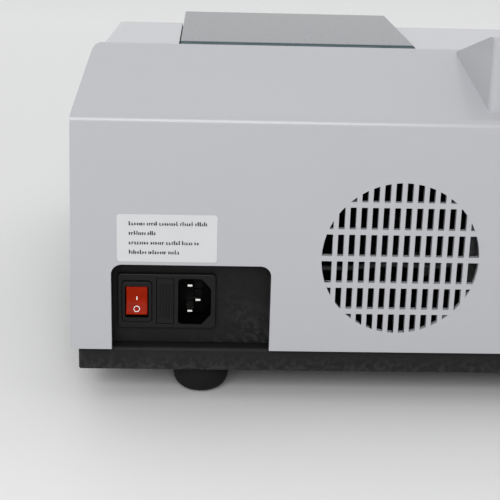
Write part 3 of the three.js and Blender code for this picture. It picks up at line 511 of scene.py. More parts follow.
# Black fan plastic, deepened to near-black as painted shade for the fan inside the housing behind the grille.
FAN_BLACK_AND_SHADE = moulded("fan_black_and_painted_shade", (0.002, 0.002, 0.002), roughness=0.6, grain=0.3, depth=0.2, mottle=0.1,
                    specular=0.05)
RUBBER = rubber("foot_rubber", (0.006, 0.006, 0.006))
FOAM = rubber("seal_foam", (0.014, 0.014, 0.015))
STEEL = bare_metal("turned_steel", (0.60, 0.61, 0.63), roughness=0.24, stretch=(1, 12, 1))
PLATED = bare_metal("nickel_plate", (0.92, 0.91, 0.88), roughness=0.2, brush=0.08)
BRASS = bare_metal("machined_brass", (0.72, 0.52, 0.22), roughness=0.3)
ALUMINIUM = bare_metal("aluminium_sheet", (0.62, 0.63, 0.64), roughness=0.38, stretch=(1, 8, 1))
CASTING = bare_metal("blasted_casting", (0.48, 0.485, 0.49), roughness=0.55, brush=0.5)
GLASS = clear("optical_glass", (0.97, 0.99, 0.99))
ACRYLIC = clear("acrylic_window", (0.86, 0.9, 0.9), roughness=0.06, ior=1.49)
KEYCAP = moulded("key_caps", (0.46, 0.47, 0.49), roughness=0.45, grain=0.3, depth=0.25)
BOARD_GREEN = moulded("laminate", (0.012, 0.09, 0.04), roughness=0.35, grain=0.8, depth=0.3, mottle=0.25)
WINDING = moulded("wound_core", (0.09, 0.075, 0.06), roughness=0.4, grain=1.2, depth=0.8, mottle=0.3)
LEAD_SHEATH = moulded("lead_sheath", (0.055, 0.057, 0.06), roughness=0.5, grain=0.4, depth=0.1, mottle=0.1)
WHITE_DISC = moulded("dial_white", (0.74, 0.74, 0.70), roughness=0.45, grain=0.3, depth=0.1)
WHITE_PRINT = moulded("white_print", (0.86, 0.86, 0.84), roughness=0.5, grain=0.25, depth=0.1)
PALE_PRINT = moulded("pale_print", (0.42, 0.46, 0.52), roughness=0.5, grain=0.25, depth=0.1)
INK = moulded("dark_print", (0.012, 0.012, 0.015), roughness=0.55, grain=0.25, depth=0.1, mottle=0.3)
RED_PRINT = moulded("red_print", (0.50, 0.03, 0.02), roughness=0.5, grain=0.25, depth=0.1)


def label_stock():
    """White film: almost even, with a slight sheen and faint creases of the roller."""
    look = Look("label_film")
    look.set(Specular_IOR_Level=0.45)
    tone = look.ramp(look.noise(16.0, detail=3.0), 0.35, 0.7, 0.0, 1.0)
    look.link(look.mix(tone, (0.55, 0.553, 0.56), (0.565, 0.568, 0.573)), "Base Color")
    look.link(look.ramp(look.noise(3.0), 0.3, 0.7, 0.32, 0.44), "Roughness")
    look.bump([(look.noise(4.0, detail=2.0), 0.15)], distance=0.03)
    return look.material


def rocker_red():
    """Deep red, slightly translucent switch cap with a worn thumb patch."""
    look = Look("rocker_red")
    look.set(Specular_IOR_Level=0.04, Subsurface_Weight=0.1, Subsurface_Scale=0.002)
    look.set(Subsurface_Radius=(1.0, 0.15, 0.08))
    patch = look.ramp(look.noise(5.0, detail=3.0), 0.35, 0.7, 0.0, 1.0)
    look.link(look.mix(patch, (0.25, 0.011, 0.0016), (0.30, 0.014, 0.0022)), "Base Color")
    look.link(look.ramp(look.noise(1.5, detail=3.0), 0.3, 0.7, 0.34, 0.46), "Roughness")
    look.bump([(look.noise(0.35), 0.12)], distance=0.03)
    return look.material


def panel_film():
    """Printed polyester film: dark slate with a very fine matt grain."""
    look = Look("panel_film")
    look.set(Specular_IOR_Level=0.4)
    grain = look.noise(0.25, detail=2.0)
    tone = look.ramp(look.noise(30.0), 0.3, 0.7, 0.0, 1.0)
    look.link(look.mix(tone, (0.030, 0.040, 0.058), (0.036, 0.048, 0.068)), "Base Color")
    look.link(look.ramp(grain, 0.3, 0.7, 0.36, 0.5), "Roughness")
    look.bump([(grain, 0.2)], distance=0.03)
    return look.material


def display_glass():
    """An unlit reflective display: grey-green with a faint uneven tone."""
    look = Look("display_glass")
    look.set(Specular_IOR_Level=0.6, Coat_Weight=0.8, Coat_Roughness=0.05)
    tone = look.ramp(look.noise(25.0), 0.3, 0.7, 0.0, 1.0)
    look.link(look.mix(tone, (0.13, 0.16, 0.12), (0.16, 0.19, 0.14)), "Base Color")
    look.link(look.ramp(look.noise(2.0), 0.3, 0.7, 0.16, 0.24), "Roughness")
    return look.material


LABEL = label_stock()
RED = rocker_red()
FILM = panel_film()
DISPLAY = display_glass()


def dress(obj, material, body, slot, *replaced):
    """Gives a new piece its material and body, and hides the CAD nodes that it stands for; slot is not used.
    """
    obj.data.materials.clear()
    obj.data.materials.append(material)
    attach(obj, body)
    if replaced:
        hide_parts(*replaced)
    return obj


# ---- Housing ----
def inset(corners, wall):
    """The corners of an anticlockwise outline moved in by a wall, each radius cut to suit."""
    moved = []
    for i, (a, b, radius) in enumerate(corners):
        here = Vector((a, b))
        along_in = (here - Vector(corners[i - 1][:2])).normalized()
        along_out = (Vector(corners[(i + 1) % len(corners)][:2]) - here).normalized()
        normal_in = Vector((-along_in.y, along_in.x))
        normal_out = Vector((-along_out.y, along_out.x))
        mitre = (normal_in + normal_out).normalized()
        shift = mitre * (wall / mitre.dot(normal_in))
        moved.append((a + shift.x, b + shift.y, max(radius - wall, 0.0)))
    return moved


BODY_SIDE = [
    (rear(BODY_D), up(SEAT_GAP), 0), (rear(0), up(SEAT_GAP), 0), (rear(0), up(WALL_H), mm(5)),
    (rear(RIDGE_D), up(TOP_H), mm(5)), (rear(BROW_D), up(TOP_H), mm(14)), (rear(BODY_D), up(FRONT_H), mm(12)),
]


def body_front(lean, corner):
    """The housing's outline from the front: drafted sides, and shoulders leaning in to the top."""
    foot = HALF_W
    crease = HALF_W - mm(SIDE_LEAN)
    top = HALF_W - mm(lean)
    return [(-foot, up(SEAT_GAP), 0), (foot, up(SEAT_GAP), 0), (crease, up(WALL_H), mm(16)),
            (top, up(TOP_H), mm(corner)), (-top, up(TOP_H), mm(corner)), (-crease, up(WALL_H), mm(16))]


HUMP = {"x": -74.0, "rear_half": 107.0, "front_half": 116.0, "rear_d": 8.0, "front_d": 55.0, "top": 164.5}
HUMP_SIDE = [
    (rear(HUMP["front_d"] + 1), up(TOP_H - 20), 0), (rear(HUMP["rear_d"]), up(WALL_H - 8), 0),
    (rear(HUMP["rear_d"]), up(HUMP["top"]), mm(5)), (rear(HUMP["front_d"] + 1), up(TOP_H - 0.3), 0),
]
HUMP_PLAN = [
    (mm(HUMP["x"] - HUMP["front_half"]), rear(HUMP["front_d"] + 1), 0),
    (mm(HUMP["x"] + HUMP["front_half"]), rear(HUMP["front_d"] + 1), 0),
    (mm(HUMP["x"] + HUMP["rear_half"]), rear(HUMP["rear_d"]), mm(4)),
    (mm(HUMP["x"] - HUMP["rear_half"]), rear(HUMP["rear_d"]), mm(4)),
]


def body_form(name, wall):
    """The housing's form, moved in by a wall: the deck is narrower in front of a step at the ridge."""
    side = prism(name, fillet(inset(BODY_SIDE, mm(wall)), 8), "X", -HALF_W - mm(1), HALF_W + mm(1))
    brow = fillet(inset(body_front(BROW_IN, 3.5), mm(wall)), 8)
    deck = fillet(inset(body_front(DECK_IN, 3.5), mm(wall)), 8)
    shoulder = fillet(inset(body_front(SHOULDER_IN, 5), mm(wall)), 8)
    step = rear(STEP_D - wall)
    sections = [(brow, rear(BODY_D + 1 - wall)), (brow, rear(BROW_D)), (deck, step - mm(0.3)),
                (shoulder, step),
                (shoulder, rear(wall - 1))]
    return boolean(side, loft(name + "_front", sections, "Y"), "INTERSECT")


def hump_form(name, wall):
    side = prism(name, fillet(inset(HUMP_SIDE, mm(wall)), 6), "X", mm(-240), mm(240))
    plan = prism(name + "_plan", fillet(inset(HUMP_PLAN, mm(wall)), 6), "Z", up(40), up(220))
    return boolean(side, plan, "INTERSECT")


def grille_cutter():
    """Rows of upright slots with rounded ends, trimmed to the vent circle."""
    slots = []
    columns = math.ceil(GRILLE["r"] / GRILLE["pitch_x"])
    half_h = GRILLE["h_slot"] / 2
    half_w = GRILLE["w"] / 2
    for row in range(-3, 3):
        dz = (row + 0.5) * GRILLE["pitch_z"]
        for column in range(-columns, columns):
            dx = (column + 0.5) * GRILLE["pitch_x"]
            inner = abs(dx) - half_w
            if math.hypot(inner, abs(dz) - half_h) < GRILLE["r"] - 1.5:
                last = abs(dz) < GRILLE["pitch_z"] and inner + GRILLE["pitch_x"] > GRILLE["r"]
                outer = GRILLE["r"] + 1 if last else inner + GRILLE["w"]
                ends = sorted(GRILLE["x"] + math.copysign(reach, dx) for reach in (inner, outer))
                h = GRILLE["h"] + dz
                outline = rounded_rect(mm(ends[0]), mm(ends[1]), up(h - half_h), up(h + half_h), mm(0.35), 3)
                slots.append(prism("slot", outline, "Y", rear(WALL + 2), rear(-2)))
    cutter = merged("grille_slots", slots)
    disc = circle(mm(GRILLE["x"]), up(GRILLE["h"]), mm(GRILLE["r"]), 128)
    return boolean(cutter, prism("rim", disc, "Y", rear(WALL + 3), rear(-3)), "INTERSECT")


def slope_matrix():
    """The front slope's own frame: x across, y up the slope, z out of it."""
    origin = Vector((0, rear((BODY_D + BROW_D) / 2), up((TOP_H + FRONT_H) / 2)))
    return Matrix.Translation(origin) @ Matrix.Rotation(SLOPE, 4, "X")


ON_SLOPE = slope_matrix()
PANEL = {"x0": -200.0, "x1": -22.0, "y0": -30.0, "y1": 72.0, "sink": 1.2}
KNOB_X = 15.0
DIAL_Y = 6.0
KNOB_Y = DIAL_Y - 40.0
DIAL_WINDOW = {"w": 26.0, "h": 11.0, "y": DIAL_Y + 23.0}


def on_slope(obj):
    obj.data.transform(ON_SLOPE)
    return obj


def on_the_step(point):
    """The edges of the deck's step, which stay crisp."""
    return abs(point.y - rear(STEP_D)) < mm(6) and point.z > up(WALL_H + 2) and abs(point.x) > HALF_W - mm(22)


def recess_outline(grow, foot_height):
    """The arch of the recess in the rear wall, grown by a wall and open below a height."""
    radius = mm(RECESS["r"] + grow)
    x0, x1 = mm(RECESS["x0"] - grow), mm(RECESS["x1"] + grow)
    foot, top = up(foot_height), up(RECESS["h"] + grow)
    return fillet([(x0, foot, 0), (x1, foot, 0), (x1, top, radius), (x0, top, radius)], 8)


def housing():
    shell = body_form("housing_shell", 0)
    boolean(shell, hump_form("hump", 0), "UNION")
    clean(shell)
    soften(shell, 2.2, segments=4, angle=32, keep=on_the_step)
    past = HALF_W + mm(5)
    boolean(shell, block("skirt", -past, past, rear(BODY_D + 9), rear(-9), up(-20), up(SEAT_GAP)))
    boolean(shell, body_form("inner", WALL))
    boolean(shell, hump_form("inner_hump", WALL))
    half = HALF_W - mm(WALL)
    boolean(shell, block("floor", -half, half, rear(BODY_D - WALL), rear(WALL), up(-20), up(18)))
    clean(shell)
    boolean(shell, grille_cutter())
    boolean(shell, prism("notch", recess_outline(0.0, -5), "Y", rear(WALL + 2), rear(-2)))
    mouth = block("mouth", LID_LOW.x - mm(0.8), LID_HIGH.x + mm(0.8), LID_LOW.y - mm(1), LID_HIGH.y + mm(2.5),
                  up(FRONT_H), up(TOP_H + 10))
    boolean(shell, mouth)
    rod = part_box("rod_bushing")
    hole = circle((rod[0].x + rod[1].x) / 2, (rod[0].z + rod[1].z) / 2, mm(7), 48)
    boolean(shell, prism("rod_hole", hole, "Y", rear(BODY_D + 3), rear(BODY_D - 8)))
    half_w, half_h = DIAL_WINDOW["w"] / 2, DIAL_WINDOW["h"] / 2
    window = plan(KNOB_X - half_w, KNOB_X + half_w, DIAL_WINDOW["y"] - half_h, DIAL_WINDOW["y"] + half_h, 1.2)
    openings = (("seat", plan(*around(PANEL, 0.3), 4.2), -PANEL["sink"] - 0.3),
                ("opening", plan(*around(PANEL, -8), 3), -10), ("window", window, -10),
                ("shaft_hole", circle(mm(KNOB_X), mm(KNOB_Y), mm(4.5), 32), -10))
    for name, outline, depth in openings:
        boolean(shell, on_slope(sheet(name, outline, depth, 5)))
    clean(shell)
    soften(shell, 0.3, segments=2, angle=50)
    shade(shell)
    return shell


dress(housing(), SHELL, "body", "housing", "upper_housing")


# ---- CAD shapes that only need their edges and surfaces refined ----
def fine(node, material, width=0.3, flat=1.0):
    """A CAD node's own shape with its edges rounded and its turned surfaces shaded smooth."""
    mesh = NODES[node].data.copy()
    if "custom_normal" in mesh.attributes:
        mesh.attributes.remove(mesh.attributes["custom_normal"])
    obj = new_object(node + "_fine", mesh)
    clean(obj, merge=2e-6, flat=flat)
    soften(obj, width, 2, angle=35)
    shade(obj, 35)
    return dress(obj, material, BODY_OF[node], SLOT_OF[node], node)


def stand_in(obj, node, material):
    """Dresses a newly built piece for the CAD node that it stands for."""
    return dress(obj, material, BODY_OF[node], SLOT_OF[node], node)


# ---- Base plate, feet and screws ----
PLATE = 2.5


def base_plate():
    """Sheet steel tray turned upside down, with rolled bends along the top and its bottom cut square."""
    low, high = BASE_LOW, BASE_HIGH
    outline = rounded_rect(low.x, high.x, low.y, high.y, mm(2))
    tray = prism("base_plate_fine", outline, "Z", low.z - mm(8), high.z)
    soften(tray, 2.8, segments=6, angle=60)
    wall = mm(PLATE)
    inside = rounded_rect(low.x + wall, high.x - wall, low.y + wall, high.y - wall, mm(0.6), 4)
    boolean(tray, prism("hollow", inside, "Z", low.z - mm(10), high.z - wall))
    boolean(tray, block("trim", -1, 1, -1, 1, low.z - mm(20), low.z))
    for number in range(1, 5):
        a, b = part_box(f"housing_screw_{number}")
        hole = circle((a.x + b.x) / 2, (a.y + b.y) / 2, mm(2.3), 24)
        boolean(tray, prism("screw_hole", hole, "Z", low.z, high.z + mm(5)))
    clean(tray)
    soften(tray, 0.35, segments=2, angle=50)
    return stand_in(shade(tray), "base_plate", SHEET)


def foot(node):
    """Bowl-shaped rubber foot with a screw recess in its pad."""
    low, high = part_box(node)
    top = high.z / 0.001
    corners = [(0, 6), (3.6, 6, 0.3), (3.6, 0, 0.5), (14.4, 0, 8.4), (15.0, 17.4, 1.2), (15.0, top, 0.4),
               (0, top)]
    obj = turned(node + "_fine", corners, 10, 72)
    place(obj, Matrix.Translation(((low.x + high.x) / 2, (low.y + high.y) / 2, 0)))
    return stand_in(shade(obj, 50), node, RUBBER)


def cross_screw(node):
    """Pan-head screw seen from below, with a cross recess."""
    low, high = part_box(node)
    head = (high.x - low.x) / 2 / 0.001
    length = (high.z - low.z) / 0.001
    corners = [(0, 0), (head, 0, 1.2), (head, 2.1, 0.2), (1.6, 2.1), (1.6, length - 1), (0, length)]
    obj = turned(node + "_fine", corners, 6, 32)
    for x, y in ((2.0, 0.45), (0.45, 2.0)):
        boolean(obj, slab("recess", -x, x, -y, y, -1, 1.2))
    place(obj, Matrix.Translation(((low.x + high.x) / 2, (low.y + high.y) / 2, low.z)))
    return stand_in(shade(obj, 35), node, STEEL)


base_plate()
for end in ("rear", "front"):
    for side in ("right", "left"):
        foot(f"foot_{end}_{side}")
for number in range(1, 5):
    cross_screw(f"housing_screw_{number}")


# ---- Rear power panel, mains inlet, switch and fuse drawer ----
INLET = {"x0": 166.5, "x1": 217.2, "h0": 9.3, "h1": 39.2}
MODULE = {"x0": 168.0, "x1": 215.8, "h0": 10.6, "h1": 37.9}
SWITCH = {"x0": 199.6, "x1": 214.8, "h0": 13.2, "h1": 35.2}
ROCKER = {"x0": 201.7, "x1": 212.7, "h0": 16.1, "h1": 32.1}
DRAWER = {"x0": 188.3, "x1": 197.0, "h0": 12.1, "h1": 36.5}
SOCKET = {"x0": 169.0, "x1": 186.0, "h0": 11.8, "h1": 36.7}
FACE_D = 7.2
SOCKET_DEEP = 17.0
MODULE_DEEP = 36.0
PINS = ("inlet_pin_live", "inlet_pin_neutral", "inlet_pin_earth")


def panel_prism(name, sizes, radius, front, back, grow=0.0):
    """A rounded block across the recess, between two depths."""
    outline = rounded_rect(mm(sizes["x0"] - grow), mm(sizes["x1"] + grow), up(sizes["h0"] - grow),
                           up(sizes["h1"] + grow), mm(radius))
    return prism(name, outline, "Y", rear(front), rear(back))


def power_panel():
    """Folded tray that lines the recess, with the opening for the inlet module."""
    outline = recess_outline(2.2, SEAT_GAP)
    tray = prism("rear_power_panel_fine", outline, "Y", rear(RECESS["deep"] + 2), rear(WALL + 0.3))
    boolean(tray, prism("hollow", recess_outline(0.0, -2), "Y", rear(RECESS["deep"]), rear(1)))
    boolean(tray, panel_prism("module_hole", MODULE, 0.4, RECESS["deep"] + 5, 0, grow=0.3))
    clean(tray)
    soften(tray, 0.5, segments=3, angle=40)
    return stand_in(shade(tray), "rear_power_panel", PANEL_BLACK)


def socket_outline():
    """The connector's opening: a rectangle with two corners cut off beside the earth blade."""
    x0, x1, h0, h1 = (SOCKET[key] for key in ("x0", "x1", "h0", "h1"))
    cut_x, cut_h = 4.8, 5.5
    corners = [(x0, h0 + cut_h, 1.2), (x0 + cut_x, h0, 1.2), (x1, h0, 1.8),
               (x1, h1, 1.8), (x0 + cut_x, h1, 1.2), (x0, h1 - cut_h, 1.2)]
    return fillet([(mm(x), up(h), mm(radius)) for x, h, radius in corners], 5)


def inlet():
    """Flanged inlet module: a collar in a groove around the switch, a deep socket and a drawer slot."""
    flange = panel_prism("inlet_housing_fine", INLET, 2.0, RECESS["deep"] - 0.3, FACE_D)
    soften(flange, 0.7, segments=3)
    boolean(flange, panel_prism("groove", SWITCH, 2.3, FACE_D + 0.7, FACE_D - 2, grow=0.45))
    collar = soften(panel_prism("collar", SWITCH, 1.8, FACE_D + 1.5, FACE_D - 1), 0.5, 3)
    boolean(flange, collar, "UNION")
    boolean(flange, panel_prism("body", MODULE, 0.8, MODULE_DEEP, FACE_D + 1), "UNION")
    boolean(flange, prism("socket", socket_outline(), "Y", rear(FACE_D + SOCKET_DEEP), rear(FACE_D - 3)))
    boolean(flange, panel_prism("rocker_hole", ROCKER, 0.8, MODULE_DEEP - 3, FACE_D - 3, grow=0.6))
    boolean(flange, panel_prism("drawer_hole", DRAWER, 0.4, MODULE_DEEP - 3, FACE_D - 3, grow=0.3))
    room = mm(0.2)
    for pin in PINS:
        low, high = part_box(pin)
        boolean(flange, block("pin_hole", low.x - room, high.x + room, low.y, rear(FACE_D + SOCKET_DEEP - 1),
                              low.z - room, high.z + room))
    clean(flange)
    soften(flange, 0.25, segments=2, angle=50)
    stand_in(shade(flange), "inlet_housing", MODULE_BLACK)
    # Painted shade: the faces deep inside the socket take the near-black painted-shade material.
    flange.data.materials.append(SOCKET_SHADE)
    left, right = mm(SOCKET["x0"] - 0.1), mm(SOCKET["x1"] + 0.1)
    floor, mouth = rear(FACE_D + SOCKET_DEEP + 1), rear(FACE_D + 1.5)
    for polygon in flange.data.polygons:
        if left < polygon.center.x < right and floor < polygon.center.y < mouth:
            polygon.material_index = 1


def pin_blade(node):
    """Flat contact blade with a pointed, chamfered tip."""
    low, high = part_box(node)
    x, z = (low.x + high.x) / 2, (low.z + high.z) / 2

    def section(half_w, half_t):
        return rounded_rect(x - mm(half_w), x + mm(half_w), z - mm(half_t), z + mm(half_t), mm(0.25), 3)

    full, tip = section(2.0, 1.0), section(1.25, 0.5)
    blade = loft(node + "_fine", [(full, low.y), (full, high.y - mm(1.6)), (tip, high.y)], "Y")
    soften(blade, 0.12, 2, angle=15)
    return stand_in(shade(blade, 30), node, PLATED)


ROCKER_TILT = math.radians(10)
ROCKER_PIVOT_D = FACE_D + 3.5
PAD_VALLEY = 2.9
PAD_REACH = 4.9


def rocker_frame():
    x = mm((ROCKER["x0"] + ROCKER["x1"]) / 2)
    z = up((ROCKER["h0"] + ROCKER["h1"]) / 2)
    return Matrix.Translation((x, rear(ROCKER_PIVOT_D), z)) @ Matrix.Rotation(ROCKER_TILT, 4, "X")


def rocker():
    """Cap with two dished pads that meet in a valley over its pivot, and its white I and O marks."""
    half = (ROCKER["h1"] - ROCKER["h0"]) / 2
    side = [(-7, -3, 0.5), (1.4, 0.6 - half, 0.6), (PAD_REACH, 0.5 - half, 0.7), (PAD_VALLEY, 0, 6.0),
            (PAD_REACH, half - 0.5, 0.7), (1.4, half - 0.6, 0.6), (-7, 3, 0.5)]
    cap = prism("power_rocker_fine", [(mm(y), mm(z)) for y, z in fillet(side, 6)], "X", mm(-5.5), mm(5.5))
    soften(cap, 0.45, segments=3, angle=50)
    place(cap, rocker_frame())
    stand_in(shade(cap, 30), "power_rocker", RED)
    slant = math.atan2(PAD_REACH - PAD_VALLEY, half - 0.5)

    def on_pad(mark, angle):
        turn = Matrix.Rotation(math.pi / 2 + angle, 4, "X") @ Matrix.Scale(-1, 4, (1, 0, 0))
        return place(mark, Matrix.Translation((0, mm(PAD_VALLEY), 0)) @ turn)

    bar = sheet("mark_on", plan(-0.26, 0.26, 0.1, 2.1, 0.1, 2), -0.25, 0.12)
    ring = sheet("mark_off", circle(0, mm(-4.6), mm(1.6), 40), -0.25, 0.08)
    boolean(ring, sheet("ring_hole", circle(0, mm(-4.6), mm(1.28), 40), -1, 1))
    print_ = merged("rocker_marks", [on_pad(bar, -slant), on_pad(ring, slant)])
    place(print_, rocker_frame())
    fix_normals(print_)
    return dress(shade(print_, 30), WHITE_PRINT, "rocker", "rocker")


def rating_label():
    """Film label with four lines of greeked text: rows of blocks that spell nothing."""
    low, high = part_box("rating_label")
    outline = rounded_rect(low.x, high.x, low.z, high.z, mm(1.6))
    film = prism("rating_label_fine", outline, "Y", low.y, low.y + mm(0.2))
    stand_in(shade(film), "rating_label", LABEL)
    left = high.x - mm(6.0)
    top = high.z - mm(4.9)
    draw = random.Random(7)
    blocks = []

    def add(x0, x1, foot, tall):
        blocks.append(block("stroke", x0, x1, low.y + mm(0.15), low.y + mm(0.27), foot, foot + mm(tall)))

    for line, length in enumerate((39.4, 12.9, 35.0, 24.9)):
        baseline = top - mm(5.0 * line) - mm(0.9)
        at = 0.0
        word = draw.randint(5, 9)
        while at < length:
            wide = draw.uniform(0.55, 1.15)
            tall = draw.choice((1.35, 1.35, 1.45, 2.1))
            x1 = left - mm(at)
            stroke = mm(draw.uniform(0.5, 0.65))
            add(x1 - stroke, x1, baseline, tall)
            if wide > 0.75:
                level = baseline + mm(draw.choice((0.0, 0.5, 1.0)))
                add(x1 - mm(wide), x1 - stroke, level, 0.36)
            at += wide + 0.3
            word -= 1
            if word == 0:
                at += 0.75
                word = draw.randint(4, 9)
    return dress(shade(merged("label_lines", blocks)), INK, "body", "label")


power_panel()
inlet()
for pin in PINS:
    pin_blade(pin)
rocker()
fine("fuse_drawer", MODULE_BLACK, 0.14)
rating_label()


# ---- Compartment lid ----
def compartment_lid():
    """The lid's shell with softened top edges; its rear edge face is painted dark teal, a painted shade of
    the gap behind the lid.
    """
    lid = fine("compartment_lid", LID, 0.0, flat=0.5)
    lid.modifiers.clear()
    soften(lid, 0.6, segments=3, angle=40)
    # Painted shade: the lid's rear edge faces take the dark teal that stands for the gap behind the lid.
    lid.data.materials.append(LID_EDGE_SHADE)
    for polygon in lid.data.polygons:
        if polygon.normal.y > 0.6 and polygon.center.y > LID_HIGH.y - mm(1.2):
            polygon.material_index = 1
    shade(lid, 35)
    return lid


compartment_lid()


# ---- Control panel, display and keys ----
WINDOW = {"x0": -176.0, "x1": -86.0, "y0": 22.0, "y1": 52.0}
PANEL_FACE = 0.6
FILM_FACE = 0.4
KEY_W = 17.0
KEY_H = 11.0
KEY_Y = -8.0
KEY_ROOT = -4.4
KEY_TOP = 2.0
KEY_X = {"mode_key": -170.0, "zero_key": -138.0, "full_scale_key": -106.0, "enter_key": -74.0}


def key_seat(x, grow):
    half_w, half_h = KEY_W / 2 + grow, KEY_H / 2 + grow
    return x - half_w, x + half_w, KEY_Y - half_h, KEY_Y + half_h


def control_panel():
    """Printed plate with raised frames around the display and the keys."""
    plate = sheet("control_panel_fine", plan(*around(PANEL, 0), 4), -PANEL["sink"], FILM_FACE)
    soften(plate, 0.3, 2)
    frames = [(around(WINDOW, 4), around(WINDOW, 0), 0.2)]
    frames += [(key_seat(x, 2.0), key_seat(x, 0.4), 0.4) for x in KEY_X.values()]
    for outer, opening, corner in frames:
        rim = soften(sheet("rim", plan(*outer, 2.4), -0.5, PANEL_FACE), 0.15, 2)
        boolean(plate, rim, "UNION")
        boolean(plate, sheet("opening", plan(*opening, corner, 3), -5, 5))
    clean(plate)
    stand_in(shade(on_slope(plate)), "control_panel", FILM)


def greeked(left, right, y, tall, low, high, draw):
    """A line of strokes that reads as small print and spells nothing."""
    strokes = []
    at = left
    while at < right:
        wide = draw.uniform(0.5, 1.3)
        top = y + tall * draw.choice((0.7, 0.7, 1.0))
        strokes.append(slab("stroke", at, at + wide, y, top, low, high))
        at += wide + draw.choice((0.35, 0.35, 1.1))
    return strokes


def panel_print():
    """Pale printing on the panel: a rule around the keys, a legend over each key and beside the display."""
    draw = random.Random(11)
    low, high = FILM_FACE - 0.05, FILM_FACE + 0.05
    x0, x1 = PANEL["x0"] + 8, PANEL["x1"] - 8
    marks = [slab("rule", x0, x1, y0, y1, low, high) for y0, y1 in ((12, 12.6), (-24, -23.4), (61, 64))]
    for x in KEY_X.values():
        marks += greeked(x - 6, x + 6, 3.2, 2.0, low, high, draw)
    for y in (24, 32, 40, 48):
        marks += greeked(-76, -58 + draw.uniform(0, 8), y, 2.2, low, high, draw)
    print_ = on_slope(merged("panel_print", marks))
    dress(shade(print_), PALE_PRINT, "body", "panel_film")


def seven_segments(x, y, tall):
    """The six outer bars of a numeral, as small strips with pointed ends."""
    wide, half = tall * 0.55, tall * 0.055

    def strip(left, foot, length, upright):
        points = [(2 * half, -half), (length - 2 * half, -half), (length - half, 0),
                  (length - 2 * half, half), (2 * half, half), (half, 0)]
        if upright:
            points = [(across, along) for along, across in points]
        return [(mm(left + a), mm(foot + b)) for a, b in points]

    bars = [strip(x, y + level, wide, False) for level in (0.0, tall)]
    return bars + [strip(x + side, y + foot, tall / 2, True) for side in (0.0, wide) for foot in (0.0,
                                                                                                  tall / 2)]


def display():
    """Reflective display under its window, with a reading of four numerals and a point."""
    glass = sheet("display_glass", plan(*around(WINDOW, -3), 0.5), -2.02, -1.6)
    soften(glass, 0.1, 1)
    dress(shade(on_slope(glass)), DISPLAY, "body", "clear_plastic")
    low, high = -1.62, -1.56
    tall, start, pitch, foot = 16.0, -162.0, 15.5, WINDOW["y0"] + 7
    bars = [sheet("bar", strip, low, high) for digit in range(4)
            for strip in seven_segments(start + pitch * digit, foot, tall)]
    point = start + pitch - 3.6
    bars.append(slab("point", point, point + 1.6, foot - 0.9, foot + 0.7, low, high))
    dress(shade(on_slope(merged("display_reading", bars))), INK, "body", "clear_plastic")


def key_marks(node):
    """One small printed sign a key: bars, a ring, a triangle or a solid bar with a point."""
    x, y = KEY_X[node], KEY_Y
    low, high = KEY_TOP - 0.32, KEY_TOP - 0.24
    if node == "mode_key":
        return [slab("bar", x - 2.2, x + 2.2, y + rise - 0.25, y + rise + 0.25, low, high)
                for rise in (-1.3, 0.0, 1.3)]
    if node == "zero_key":
        ring = sheet("ring", circle(mm(x), mm(y), mm(1.8), 40), low, high)
        return [boolean(ring, sheet("hole", circle(mm(x), mm(y), mm(1.25), 40), low - 1, high + 1))]
    if node == "full_scale_key":
        arrow = [(mm(x - 1.9), mm(y - 1.5)), (mm(x + 1.9), mm(y - 1.5)), (mm(x), mm(y + 1.7))]
        return [sheet("arrow", arrow, low, high)]
    pointer = [(mm(x - 3.0), mm(y)), (mm(x - 1.2), mm(y - 1.3)), (mm(x - 1.2), mm(y + 1.3))]
    return [sheet("pointer", pointer, low, high), slab("stem", x - 1.3, x + 2.8, y - 0.3, y + 0.3, low, high)]


def key(node):
    """Key cap with a rounded rim, a dished top and a printed sign."""
    x = KEY_X[node]
    steps = ((0.0, KEY_ROOT), (0.0, KEY_TOP - 0.5), (0.2, KEY_TOP - 0.15), (0.6, KEY_TOP),
             (1.4, KEY_TOP - 0.08), (2.4, KEY_TOP - 0.22), (3.2, KEY_TOP - 0.3))
    sections = [(plan(*key_seat(x, -step), max(1.5 - step / 3, 0.5)), mm(level)) for step, level in steps]
    stand_in(shade(on_slope(loft(node + "_fine", sections, "Z")), 50), node, KEYCAP)
    marks = on_slope(merged(node + "_mark", key_marks(node)))
    dress(shade(marks), INK, BODY_OF[node], "keycap")


control_panel()
panel_print()
display()
for node in KEY_X:
    key(node)


# ---- Wavelength knob, dial scale and pull rod ----
KNOB_FLUTES = 24
DIAL_FACE = -8.0
SCALE_LOW = 200
SCALE_HIGH = 1000
SCALE_SWEEP = 300.0
SCALE_R = 27.2


def fluted(low, high, count, cut):
    """A squeeze for turned(): count shallow flutes between two heights, in metres."""
    def squeeze(radius, height, angle):
        if low <= height <= high and radius > mm(8):
            return radius - cut * (0.5 + 0.5 * math.cos(count * angle)) ** 2
        return radius
    return squeeze


